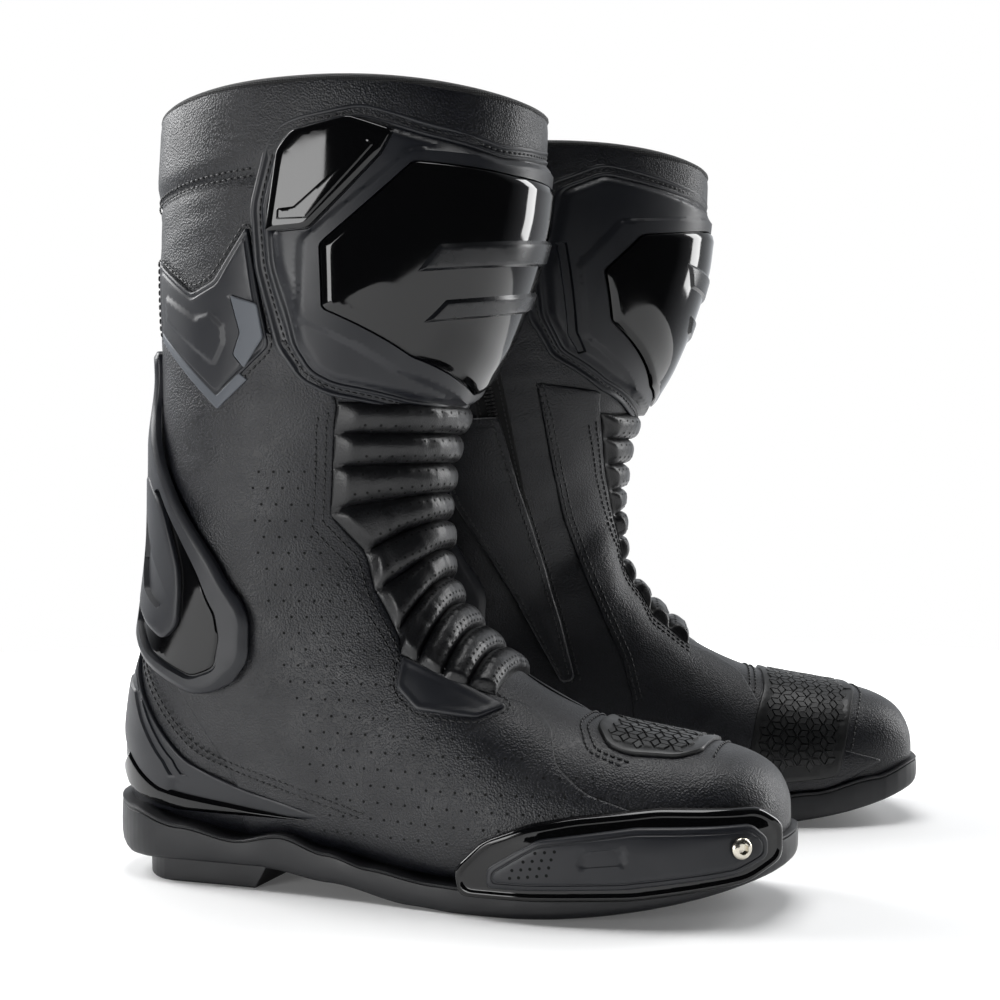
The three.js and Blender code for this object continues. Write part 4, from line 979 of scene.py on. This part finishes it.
WEAR_LABEL = [(50, 24.5), (51, 31), (66, 33), (67.5, 26.5)]
tray = panel(TRAY, on_edge, [(0, -3.2), (0, 1.3), (0.5, 2.2), (1.4, 2.7), (2.4, 2.6), (3.0, 2.0), (3.4, 1.9)], 4, 2.0)
build("slider_tray", tray, gloss_tpu, "foot", ["toe_slider_tray"], 40)
wear = panel(WEAR, on_edge, [(0, 1.4), (0, 3.5), (0.4, 4.2), (1.0, 4.45), (2.0, 4.45), (2.3, 4.1), (2.7, 4.1),
                             (3.0, 4.6), (3.3, 4.7)],
             2.5, 2.0, steps=[(WEAR_LABEL, 2.2, -0.35, 0.3, -0.1)])
build("slider_wear_piece", wear, satin_tpu, "foot", ["toe_slider_insert"], 40)

# %% [markdown]
# The screw's head is turned: a domed flange, a short chamfer and a hexagon socket.

# %% Slider screw
def turned_part(profile, foot, axis, count, socket):
    axis = axis / np.linalg.norm(axis)
    side = np.cross(axis, UP)
    side /= np.linalg.norm(side)
    up = np.cross(side, axis)
    points, faces = [], []
    for row, (radius, height) in enumerate(profile):
        for j in range(count):
            angle = 2 * math.pi * j / count
            k = radius
            if row in socket:
                k = radius / math.cos((angle + math.pi / 6) % (math.pi / 3) - math.pi / 6)
            points.append(foot + axis * height + (side * math.cos(angle) + up * math.sin(angle)) * k)
    for row in range(len(profile) - 1):
        for j in range(count):
            a, b = row * count + j, row * count + (j + 1) % count
            faces.append((a, b, b + count, a + count))
    faces.append(tuple(reversed(range(count))))
    faces.append(tuple(range((len(profile) - 1) * count, len(profile) * count)))
    points = np.array(points)
    return points, faces


screw_foot = on_edge(np.array(109.0), np.array(33.0), np.array(3.0))
screw_out = on_edge(np.array(109.0), np.array(33.0), np.array(7.2)) - screw_foot
SCREW = [(3.2, 0), (3.2, 2.4), (4.3, 2.5), (4.5, 2.8), (4.4, 3.5), (3.9, 4.2), (3.2, 4.6), (2.3, 4.8),
         (2.05, 4.75), (1.95, 4.55), (1.95, 2.9), (0.3, 2.7)]
screw = turned_part(SCREW, screw_foot, screw_out, 36, (8, 9, 10))
build("slider_screw", screw, screw_steel, "foot", ["toe_slider_screw"], 25)

# %% [markdown]
# ## The sole
# The sole's outline is the last's plan, moved out by 3 mm. Its side has a rolled foot, a parting
# groove and a thin top lip. The drawn height is a share of the way from the tread to the top line.

# %% Sole outline and heights
SOLE_TOP = [(0, 36), (20, 33), (45, 27), (74, 22), (96, 26), (119, 20), (140, 15.5), (171, 12),
            (192, 11.5), (220, 13.5), (250, 18.5), (285, 26), (312, 33)]
TREAD = [(88, 10), (120, 6.5), (160, 1), (182, 0), (212, 0)]


def eased(line, x):
    xs, zs = np.transpose(line)
    i = np.clip(np.searchsorted(xs, x) - 1, 0, len(xs) - 2)
    return zs[i] + (zs[i + 1] - zs[i]) * smooth((x - xs[i]) / (xs[i + 1] - xs[i]))


def tread_height(x):
    rise = np.maximum(0, x - 200) / 100
    return np.where(x < 88, 10.5 + np.maximum(0, 17 - x) * 0.25, eased(TREAD, x) + 16 * rise**2)


def plan_edge(s, side):
    def at(t):
        k = section(t)
        half = np.where(side > 0, k[..., 5], k[..., 4])
        return np.stack([k[..., 0] + (k[..., 2] - k[..., 0]) * k[..., 7], k[..., 6] + side * half], -1)

    here = at(s)
    back = at(s + 0.05) - here
    back /= np.linalg.norm(back, axis=-1, keepdims=True)
    return here + np.stack([side * back[..., 1], -side * back[..., 0]], -1) * SOLE_RIM


def sole_outline(side):
    toe = plan_edge(np.array([0.02, 0.3, 0.6, 0.85, 1.1, 1.4, 1.7, 2.0, 2.4, 2.8, 3.2, 3.6, 4.0, 4.5, 5.0, 5.5, 5.9]),
                    side)
    x = np.concatenate([np.arange(192, 38, -7.0), 38 - 38.5 * np.sin(np.radians(np.arange(6, 90, 5.5)))])
    s = root(lambda t: x - section(t)[..., 2], 0.5, 12.4, x.shape)
    k = section(s)
    bend = 1 - np.minimum((x + 0.5) / 38, 1)
    half = (np.where(side > 0, k[..., 5], k[..., 4]) + SOLE_RIM) * np.maximum(np.sqrt(1 - bend**2), 0.06)
    return np.concatenate([toe, np.stack([x, k[..., 6] + side * half], -1)])


outline = np.concatenate([sole_outline(-1), sole_outline(1)[::-1]])
print("the sole's outline has", len(outline), "points")


# %% The sole
def on_sole(x, y, share):
    low, high = tread_height(x), eased(SOLE_TOP, x)
    return np.stack([x, y, low + (high - low) * share], -1)


on_sole.scale = np.ones(2)
SOLE_EDGE = [(4.0, 0.0), (2.4, 0.01), (1.2, 0.05), (0.5, 0.12), (0.1, 0.26), (0, 0.5), (0.15, 0.8), (0.35, 0.88),
             (1.0, 0.9),
             (1.0, 0.92), (0.3, 0.935), (0.1, 0.96), (0.4, 0.99), (1.1, 1.0), (3.0, 1.0)]
sole = panel(outline, on_sole, SOLE_EDGE, 0.8, 3.0)
build("outsole", sole, sole_rubber, "foot", ["outsole"], 30)

HEEL_FRONT, HEEL_BACK = 88, 17


def heel_outline(side):
    x = HEEL_BACK + (HEEL_FRONT - HEEL_BACK) * (1 - np.cos(np.radians(np.arange(6, 91, 4))))
    s = root(lambda t: np.maximum(x, 38) - section(t)[..., 2], 0.5, 12.4, x.shape)
    k = section(s)
    half = np.where(side > 0, k[..., 5], k[..., 4]) + SOLE_RIM - 5
    bend = np.sqrt(1 - (1 - np.minimum((x - HEEL_BACK + 1.5) / 26, 1)) ** 2)
    return np.stack([x, (k[..., 6] + side * half) * bend], -1)


def on_heel_block(x, y, z):
    lean = np.clip((x - HEEL_FRONT + 12) / 12, 0, 1) * 6 * (1 - np.clip(z / 10.4, 0, 1))
    return np.stack([x - lean, y, z], -1)


on_heel_block.scale = np.ones(2)
heel_points = np.concatenate([heel_outline(-1)[::-1], heel_outline(1)])
heel_block = panel(heel_points, on_heel_block, [(0.8, 0.0), (0.2, 0.7), (0, 4), (0, 10.6), (3, 10.6)], 0.6, 4.0)
build("heel_block", heel_block, sole_rubber, "foot", ["heel_block"], 30)

# %% [markdown]
# ## Shift pad and vent tag
# The rubber pad on the toe saves the leather from the gear lever. Its blocks are instanced below.

# %% Shift pad and vent tag
PAD = [(221, 96), (225, 60), (230, 36), (232, 6), (232, -14), (240, -30), (250, -34), (270, -30),
       (278, -20), (279, 20), (272, 60), (267, 92)]
pad = panel(PAD, on_foot, [(0, 0.1), (0, 1.3), (0.4, 1.8), (1.0, 1.9)], 4, 2.0,
            lambda p, depth: -0.45 * smooth((depth - 3.0) / 0.8))
build("shift_pad", pad, pad_rubber, "foot", ["shift_pad"], 40)
TAG = [(151, 105), (184, 90), (196, 84), (186, 80), (160, 83), (150, 92)]
tag = panel(TAG, outside_wall, [(0, 0.9), (0, 2.2), (0.3, 2.6), (0.9, 2.75)], 2, 1.0,
            lambda p, depth: -0.35 * smooth((depth - 2.0) / 0.7))
build("vent_tag", tag, satin_tpu, "foot", ["vent_tag"], 40)

# %% [markdown]
# ## What repeats
# Stitches, air holes, pad blocks and zip teeth repeat by the hundred, so Geometry Nodes place them.
# The air holes are black discs on the leather, a painted shade where the holes are.
# Each tree takes points that carry two directions: up, away from the leather, and along, the way
# the item lies. The tree aligns one small mesh to both, and ends in plain geometry.

# %% A tree that follows seams
def socket_in(tree, name, kind, value=None):
    socket = tree.interface.new_socket(name=name, in_out="INPUT", socket_type=kind)
    if value is not None:
        socket.default_value = value
    return socket


def start_tree(name, floats):
    tree = bpy.data.node_groups.new(name, "GeometryNodeTree")
    socket_in(tree, "Geometry", "NodeSocketGeometry")
    tree.interface.new_socket(name="Geometry", in_out="OUTPUT", socket_type="NodeSocketGeometry")
    for key, value in floats.items():
        socket_in(tree, key, "NodeSocketFloat", value)
    socket_in(tree, "Material", "NodeSocketMaterial")
    return tree, tree.nodes.new("NodeGroupInput"), tree.nodes.new("NodeGroupOutput")


def end_tree(tree, entry, out, points, shape, along, up):
    lay_x = add(tree, "FunctionNodeAlignRotationToVector", {"axis": "X"}, Vector=along)
    turn_z = add(tree, "FunctionNodeAlignRotationToVector", {"axis": "Z", "pivot_axis": "X"},
                 Rotation=lay_x.outputs[0], Vector=up)
    placed = add(tree, "GeometryNodeInstanceOnPoints", Points=points, Instance=shape, Rotation=turn_z.outputs[0])
    real = add(tree, "GeometryNodeRealizeInstances", Geometry=placed.outputs[0])
    smoothed = add(tree, "GeometryNodeSetShadeSmooth", Geometry=real.outputs[0])
    painted = add(tree, "GeometryNodeSetMaterial", Geometry=smoothed.outputs[0], Material=entry.outputs["Material"])
    tree.links.new(painted.outputs[0], out.inputs[0])


def named(tree, name, kind="FLOAT_VECTOR"):
    return add(tree, "GeometryNodeInputNamedAttribute", {"data_type": kind}, Name=name).outputs[0]


seam_tree, entry, out = start_tree("seam_stitches", {"Pitch": 0.003, "Length": 0.0011, "Width": 0.0004,
                                                     "Height": 0.0004})
curve = add(seam_tree, "GeometryNodeMeshToCurve", Mesh=entry.outputs["Geometry"])
even = add(seam_tree, "GeometryNodeResampleCurve", {"mode": "LENGTH"}, Curve=curve.outputs[0],
           Length=entry.outputs["Pitch"])
bead = add(seam_tree, "GeometryNodeMeshUVSphere", Segments=8, Rings=5, Radius=1.0)
bead_size = add(seam_tree, "ShaderNodeCombineXYZ", X=entry.outputs["Length"], Y=entry.outputs["Width"],
                Z=entry.outputs["Height"])
stitch = add(seam_tree, "GeometryNodeTransform", Geometry=bead.outputs[0], Scale=bead_size.outputs[0])
tangent = add(seam_tree, "GeometryNodeInputTangent")
end_tree(seam_tree, entry, out, even.outputs[0], stitch.outputs[0], tangent.outputs[0], named(seam_tree, "up"))
print("nodes in the seam tree:", len(seam_tree.nodes))

# %% Trees for hole shade discs and blocks
hole_tree, entry, out = start_tree("hole_shade_discs", {"Radius": 0.0006})
ring = add(hole_tree, "GeometryNodeMeshCircle", {"fill_type": "NGON"}, Vertices=10, Radius=entry.outputs["Radius"])
end_tree(hole_tree, entry, out, entry.outputs["Geometry"], ring.outputs[0], named(hole_tree, "along"),
         named(hole_tree, "up"))

block_tree, entry, out = start_tree("pad_blocks", {"Side": 0.0034, "Share": 0.8, "Rise": 0.0009})
flat_block = add(block_tree, "GeometryNodeMeshCircle", {"fill_type": "NGON"}, Vertices=4, Radius=1.0)
half = add(block_tree, "ShaderNodeMath", {"operation": "MULTIPLY"}, _0=entry.outputs["Side"], _1=entry.outputs["Share"])
short_half = add(block_tree, "ShaderNodeMath", {"operation": "MULTIPLY"}, _0=half.outputs[0], _1=0.5)
long_half = add(block_tree, "ShaderNodeMath", {"operation": "MULTIPLY"}, _0=half.outputs[0], _1=0.866)
block_size = add(block_tree, "ShaderNodeCombineXYZ", X=short_half.outputs[0], Y=long_half.outputs[0], Z=1.0)
rhomb = add(block_tree, "GeometryNodeTransform", Geometry=flat_block.outputs[0], Scale=block_size.outputs[0])
raised = add(block_tree, "GeometryNodeExtrudeMesh", {"mode": "FACES"}, Mesh=rhomb.outputs[0],
             Offset_Scale=entry.outputs["Rise"])
tapered = add(block_tree, "GeometryNodeScaleElements", {"domain": "FACE"}, Geometry=raised.outputs[0],
              Selection=raised.outputs["Top"], Scale=0.84)
end_tree(block_tree, entry, out, entry.outputs["Geometry"], tapered.outputs[0], named(block_tree, "along"),
         named(block_tree, "up"))
print("trees:", [tree.name for tree in bpy.data.node_groups])


# %% [markdown]
# A seam is a drawn line on a way of laying. It is cut into short steps and placed a little above
# the leather, and keeps its up direction. Air holes and blocks are drawn as single points.

# %% Growing repeated pieces
def grow(name, lines, tree, material, body, settings, nodes=(), flat_shaded=False):
    """lines: for each seam (points, ups, alongs) on the right boot; single points are one-point lines."""
    for side in SIDES:
        turn = STANDING[side][1]
        points, ups, alongs, edges = [], [], [], []
        for line, up, along, joined in lines:
            start = sum(len(p) for p in points)
            points.append(to_world(line, side))
            ups.append(up @ turn)
            alongs.append(along @ turn)
            if joined:
                edges += [(start + i, start + i + 1) for i in range(len(line) - 1)]
        mesh = bpy.data.meshes.new(f"{side}_{name}")
        mesh.from_pydata(np.concatenate(points).tolist(), edges, [])
        for key, values in (("up", ups), ("along", alongs)):
            mesh.attributes.new(key, "FLOAT_VECTOR", "POINT").data.foreach_set("vector", np.concatenate(values).ravel())
        piece = bpy.data.objects.new(f"{side}_{name}", mesh)
        bpy.context.scene.collection.objects.link(piece)
        modifier = piece.modifiers.new("repeat", "NODES")
        modifier.node_group = tree
        for item in tree.interface.items_tree:
            if item.in_out == "INPUT" and item.name in settings:
                modifier[item.identifier] = settings[item.name]
            if item.in_out == "INPUT" and item.name == "Material":
                modifier[item.identifier] = material
        bpy.context.view_layer.update()
        solid = bpy.data.meshes.new_from_object(piece.evaluated_get(bpy.context.evaluated_depsgraph_get()))
        piece.modifiers.clear()
        piece.data = solid
        if flat_shaded:
            solid.shade_flat()
        attach(piece, side, body, nodes)
    print(f"{name}: {len(solid.polygons)} faces on each boot")


def seam(line, lay, height, offset=0.0):
    """A drawn line as steps of about 2 mm, moved sideways by offset mm."""
    flat = np.asarray(line, float) * lay.scale
    lengths = np.linalg.norm(np.diff(flat, axis=0), axis=1)
    run = np.concatenate([[0], np.cumsum(lengths)])
    at = np.linspace(0, run[-1], max(3, int(run[-1] / 2)))
    path = np.stack([np.interp(at, run, flat[:, k]) for k in (0, 1)], 1)
    soft = path.copy()
    for _ in range(3):
        soft[1:-1] = (soft[:-2] + 2 * soft[1:-1] + soft[2:]) / 4
    ahead = np.gradient(soft, axis=0)
    ahead /= np.linalg.norm(ahead, axis=1, keepdims=True)
    soft = soft + np.stack([-ahead[:, 1], ahead[:, 0]], 1) * offset
    a, b = (soft / lay.scale).T
    low, high = lay(a, b, np.full(len(a), float(height))), lay(a, b, np.full(len(a), height + 1.0))
    up = high - low
    along = np.gradient(low, axis=0)
    return low, up, along, True


def dots(points, lay, height):
    a, b = np.asarray(points, float).T
    low = lay(a, b, np.broadcast_to(np.asarray(height, float), a.shape))
    up = lay(a, b, np.broadcast_to(np.asarray(height, float) + 1, a.shape)) - low
    ahead = lay(a + 0.5, b, np.broadcast_to(np.asarray(height, float), a.shape)) - low
    return low, up, ahead, False


print("a seam helper and a dot helper are ready")

# %% [markdown]
# The seams run in double rows beside every folded edge. The thread is black, like the leather, and
# shows by its small highlights.

# %% Seams
def closed(line):
    return list(line) + [line[0]]


def inset_line(corners, lay, inset):
    ring = rounded(np.asarray(corners, float) * lay.scale, 4, inset, step=6)[0] / lay.scale
    return closed([tuple(p) for p in ring])


def front_edge(which, offset):
    s, turn = front_at(np.linspace(0.01, 0.97, 90), 0.0 if which < 0 else 1.0)
    turn = turn + which * offset / 0.75
    low, high = off_last(s, turn, 1.45), off_last(s, turn, 2.45)
    return low, high - low, np.gradient(low, axis=0), True


COLLAR_LINE = [(-168, 303), (-140, 306), (-120, 309), (-101, 311)]
HINGE_SEAM = [(85, 226), (89, 213), (99, 176), (111, 138), (121, 106), (129, 76)]
MEDIAL_SEAM = [(107, 228), (112, 210), (117, 185), (123, 160), (134, 131), (144, 108), (154, 86), (159, 66)]
COUNTER_EDGE = [(26, 111), (40, 95), (54, 81), (68, 65), (78, 50), (79, 36)]
seams = [
    seam(COLLAR_LINE, on_leg, 0.6), seam(COLLAR_LINE, on_leg, 0.6, 3.0),
    seam([(a * -1, b) for a, b in COLLAR_LINE], on_leg, 0.6),
    seam([(a * -1, b) for a, b in COLLAR_LINE], on_leg, 0.6, -3.0),
    front_edge(-1, 2.2), front_edge(-1, 4.8), front_edge(1, 2.2), front_edge(1, 4.8),
    seam(HINGE_SEAM, inside_wall, 0.35, -1.6), seam(HINGE_SEAM, inside_wall, 0.35, 2.6),
    seam(MEDIAL_SEAM, inside_wall, 1.4, 2.0), seam(MEDIAL_SEAM, inside_wall, 1.4, 4.6),
    seam(COUNTER_EDGE, on_heel, 1.3, 2.4), seam(other_side(COUNTER_EDGE), on_heel, 0.4, -2.4),
    seam(COUNTER_EDGE, on_heel, 1.3, 4.8), seam(other_side(COUNTER_EDGE), on_heel, 0.4, -4.8),
    seam(inset_line(SHIELD, on_leg, 3.0), on_leg, 1.25),
    seam(inset_line(CALF, outside_wall, -2.0), outside_wall, 1.45),
    seam(inset_line(TAG, outside_wall, -2.2), outside_wall, 1.45),
    seam([(217, 100), (221, 60), (226, 36), (228, 4), (228, -16), (236, -34), (250, -39)], on_foot, 0.4),
    seam([(214, 100), (218, 60), (223, 36), (225, 4), (225, -16), (233, -36), (247, -42)], on_foot, 0.4),
    seam([(283, -22), (283, 20), (276, 60), (271, 95)], on_foot, 0.4),
]
grow("seam_thread", seams, seam_tree, thread, "ankle",
     {"Pitch": 0.0032, "Length": 0.00132, "Width": 0.00048, "Height": 0.0005})
flap_seams = [seam([(62, 209), (62, 187), (70, 168), (99, 119.5), (121, 79)], inside_wall, 5.45),
              seam([(86, 210), (96, 176), (108, 138), (118, 106), (125, 80)], inside_wall, 5.45)]
grow("flap_thread", flap_seams, seam_tree, thread, "flap",
     {"Pitch": 0.0032, "Length": 0.00132, "Width": 0.00048, "Height": 0.0005})

# %% [markdown]
# The air holes stand in slanting rows on the outer panel, and in two rows on each padded rib. Each
# is a black disc on the leather, a painted shade where the hole is.

# %% Air holes, drawn as discs of painted shade
FIELD = [(85, 186), (124, 186), (119, 160), (126, 147), (149, 104), (153, 79), (250, 56), (250, 48), (219, 33),
         (119, 23), (100, 85), (86, 146)]
rows = np.array([(20 + 6.7 * i + 3.35 * (k % 2), 22 + 7.1 * k) for k in range(26) for i in range(46)])
rows = rows[within(rows, FIELD)]
rows = rows[distance(rows, FRONT_OUTER) > 9]
field = dots(rows, outside_wall, 1.42 + tension(outside_wall, 28, 21, 0.3)(rows, np.full(len(rows), 9.0)))
rib_row = np.arange(RIBS)[:, None] + np.array([0.16, 0.34, 0.82])[None, :]
rib_u, rib_v = np.meshgrid(rib_row.ravel() / RIBS, np.linspace(0.1, 0.88, 15), indexing="ij")
rib_v = rib_v + np.where(np.arange(rib_v.shape[0]) % 2, 0.026, 0.0)[:, None]


def rib_surface(du, dv):
    uu, vv = rib_u + du, rib_v + dv
    ss, tt = front_at(uu, vv)
    return off_last(ss, tt, rib_height(uu, vv, ss, tt)).reshape(-1, 3)


rib_here = rib_surface(0, 0)
rib_along = rib_surface(0, 0.01) - rib_here
rib_up = np.cross(rib_along, rib_surface(0.002, 0) - rib_here)
rib_up /= np.linalg.norm(rib_up, axis=1, keepdims=True)
rib_dots = (rib_here + rib_up * 0.06, rib_up, rib_along, False)
# the wear piece's dimples are black discs on its flat face: painted shade
wear_spots = np.array([(24 + 3.6 * i + 0.9 * j,
                        19 + 3.3 * j + 0.5 * i) for i in range(5) for j in range(4) if j <= i + 1])
grow("wear_piece_dimple_shade", [dots(wear_spots, on_edge, 4.74)], hole_tree, hole_shade_black, "foot",
     {"Radius": 0.0007})
# the air holes are black discs just above the leather and ribs: painted shade
grow("hole_shade_discs", [field, rib_dots], hole_tree, hole_shade_black, "ankle", {"Radius": 0.00062})

# %% [markdown]
# Three rhombs make one hexagon, and many hexagons make a pattern of cubes. Each rhomb is a low
# block with sloping sides, so the boot's toe grips the lever.

# %% Pad blocks
SIDE_MM = 4.3
spots, ways = [], []
for i in range(-40, 41):
    for j in range(-40, 41):
        centre = np.array([250 + SIDE_MM * 1.5 * i, 22 + SIDE_MM * math.sqrt(3) * (j + i / 2)])
        for angle in (0, 120, 240):
            way = np.array([math.cos(math.radians(angle)), math.sin(math.radians(angle))])
            spots.append(centre + way * SIDE_MM / 2)
            ways.append(way)
spots, ways = np.array(spots), np.array(ways)
keep = signed(spots / on_foot.scale, PAD, on_foot.scale) > 4.2
spots, ways = spots[keep] / on_foot.scale, ways[keep] / on_foot.scale
level = np.full(len(spots), 1.4)
block_at = on_foot(spots[:, 0], spots[:, 1], level)
block_up = on_foot(spots[:, 0], spots[:, 1], level + 1) - block_at
block_way = on_foot(spots[:, 0] + ways[:, 0] * 0.3, spots[:, 1] + ways[:, 1] * 0.3, level) - block_at
grow("shift_pad_blocks", [(block_at, block_up, block_way, False)], block_tree, pad_rubber, "foot",
     {"Side": SIDE_MM / 1000, "Share": 0.92, "Rise": 0.0008}, flat_shaded=True)

# %% [markdown]
# ## The zip
# A woven tape carries two rows of teeth that meet in the middle. The slider and its pull move;
# they stay the frame's own solids and only get a finish below.

# %% Zip tape and teeth
ZIP_TOP, ZIP_BOTTOM = np.array([62.0, 330.0]), np.array([103.0, 132.0])
zip_way = (ZIP_BOTTOM - ZIP_TOP) / np.linalg.norm(ZIP_BOTTOM - ZIP_TOP)
zip_across = np.array([-zip_way[1], zip_way[0]]) * 8
TAPE = [ZIP_TOP - zip_across, ZIP_TOP + zip_across, ZIP_BOTTOM + zip_across, ZIP_BOTTOM - zip_across]
tape = panel(TAPE, inside_wall, [(0, 0.3), (0, 1.1), (0.3, 1.4), (0.8, 1.45)], 1.0, 2.4)
build("zip_tape", tape, zip_tape, "ankle", ["zip_chain"], 40)
teeth = [seam([ZIP_TOP + zip_way * 3 + zip_across * k, ZIP_BOTTOM - zip_way * 3 + zip_across * k], inside_wall, 1.8)
         for k in (-0.12, 0.12)]
grow("zip_teeth", teeth, seam_tree, zip_teeth_plastic, "ankle",
     {"Pitch": 0.0019, "Length": 0.0007, "Width": 0.0017, "Height": 0.0008})
tape_seams = [seam([ZIP_TOP + zip_way * 2 + zip_across * k, ZIP_BOTTOM - zip_way * 2 + zip_across * k], inside_wall,
                   1.4)
              for k in (-0.75, 0.75)]
grow("zip_seam_thread", tape_seams, seam_tree, thread, "ankle",
     {"Pitch": 0.0028, "Length": 0.0011, "Width": 0.00036, "Height": 0.00034})

# %% [markdown]
# ## Solids that stay
# Some pieces of the frame already have the right shape. They keep it and get a finish.

# %% Finishes for the frame's own solids
KEPT = {"shank": spring_steel, "toe_puff": puff_sheet, "insole_board": fibre_board, "footbed": foam_cloth,
        "zip_slider": dark_zinc, "zip_pull": satin_tpu}
for side in SIDES:
    for node, material in KEPT.items():
        solid = frame["nodes"][f"{side}_{node}"]
        solid.data.materials.clear()
        solid.data.materials.append(material)
print("solids that keep their shape:", len(KEPT) * len(SIDES))

# %% [markdown]
# ## Studio
# A pale floor runs out to a white surround. The surround is bright behind the boots and dark in
# front, which draws white edges on black leather and keeps its middle deep. Soft boxes add the rest.

# %% Floor and surround
floor_material, floor_tree, floor_shader = finish_of("painted_studio_floor_white", "fafafa", 0.8, 1.45)
floor_shader.inputs["Emission Color"].default_value = (1, 1, 1, 1)
floor_spot = add(floor_tree, "ShaderNodeVectorMath", {"operation": "LENGTH"}, _0=in_millimetres(floor_tree))
glow = ranged(floor_tree, floor_spot.outputs["Value"], 0.06, 1.0, 380.0, 950.0)
seen = ranged(floor_tree, add(floor_tree, "ShaderNodeLightPath").outputs["Is Camera Ray"], 0.4, 1.0, 0.0, 1.0)
shown = add(floor_tree, "ShaderNodeMath", {"operation": "MULTIPLY"}, _0=glow, _1=seen)
floor_tree.links.new(shown.outputs[0], floor_shader.inputs["Emission Strength"])
floor_noise = add(floor_tree, "ShaderNodeTexNoise", Vector=in_millimetres(floor_tree), Scale=0.02)
floor_tree.links.new(ranged(floor_tree, floor_noise.outputs[0], 0.76, 0.84), floor_shader.inputs["Roughness"])
floor_mesh = bpy.data.meshes.new("studio_floor")
round_edge = [(1.0 * math.cos(math.radians(a)), 1.0 * math.sin(math.radians(a)), 0) for a in range(0, 360, 5)]
floor_mesh.from_pydata(round_edge, [], [tuple(range(len(round_edge)))])
floor_mesh.materials.append(floor_material)
floor = bpy.data.objects.new("studio_floor", floor_mesh)
bpy.context.scene.collection.objects.link(floor)

world = bpy.data.worlds.new("studio")
bpy.context.scene.world = world
world.use_nodes = True
sky = world.node_tree
backing = sky.nodes["Background"]
backing.inputs["Color"].default_value = (0.93, 0.96, 1.0, 1)
facing = add(sky, "ShaderNodeVectorMath", {"operation": "DOT_PRODUCT"},
             _0=add(sky, "ShaderNodeTexCoord").outputs["Generated"],
             _1=(-0.32, 0.95, 0.0))
sky.links.new(ranged(sky, facing.outputs["Value"], 0.03, 0.9, -0.1, 0.95), backing.inputs["Strength"])
white = add(sky, "ShaderNodeBackground", Color=(1, 1, 1, 1), Strength=1.0)
seen = add(sky, "ShaderNodeLightPath")
both = add(sky, "ShaderNodeMixShader", _0=seen.outputs["Is Camera Ray"], _1=backing.outputs[0], _2=white.outputs[0])
sky.links.new(both.outputs[0], sky.nodes["World Output"].inputs["Surface"])
print("floor and surround are ready")

# %% Lights
CENTRE = Vector((0.0, 0.0, 0.17))


def soft_light(name, place, size, watts, color=(1, 1, 1), aim=CENTRE):
    data = bpy.data.lights.new(name, "AREA")
    data.shape = "RECTANGLE"
    data.size, data.size_y = size
    data.energy = watts
    data.color = color
    light = bpy.data.objects.new(name, data)
    light.location = place
    light.rotation_euler = (aim - Vector(place)).to_track_quat("-Z", "Y").to_euler()
    bpy.context.scene.collection.objects.link(light)


soft_light("key_front_left", (-0.62, -1.45, 0.2), (0.6, 0.62), 8.5, aim=Vector((-0.1, -0.1, 0.2)))
soft_light("side_left", (-1.6, 0.0, 1.2), (0.9, 1.3), 40)
soft_light("top", (0.0, 0.1, 2.1), (1.2, 1.2), 26)
soft_light("strip_right", (1.1, 0.9, 0.6), (0.35, 1.2), 12)

# %% [markdown]
# The camera stands in front of the right boot's outer side, at about the height of the calf.

# %% Camera
eye_local = np.array([433.8, -732.0, 188.5])
eye = Vector(to_world(eye_local[None], "right")[0])
pitch = math.radians(-1.19)
forward = Vector((-0.3235 * math.cos(pitch), 0.9463 * math.cos(pitch), math.sin(pitch)))
camera_data = bpy.data.cameras.new("camera")
camera_data.sensor_width = 36
camera_data.lens = 62.7
camera = bpy.data.objects.new("camera", camera_data)
camera.location = eye
camera.rotation_euler = forward.to_track_quat("-Z", "Y").to_euler()
bpy.context.scene.collection.objects.link(camera)
bpy.context.scene.camera = camera
bpy.context.scene.view_settings.view_transform = "Standard"
print("pieces:", len(made), "faces:", sum(made.values()))
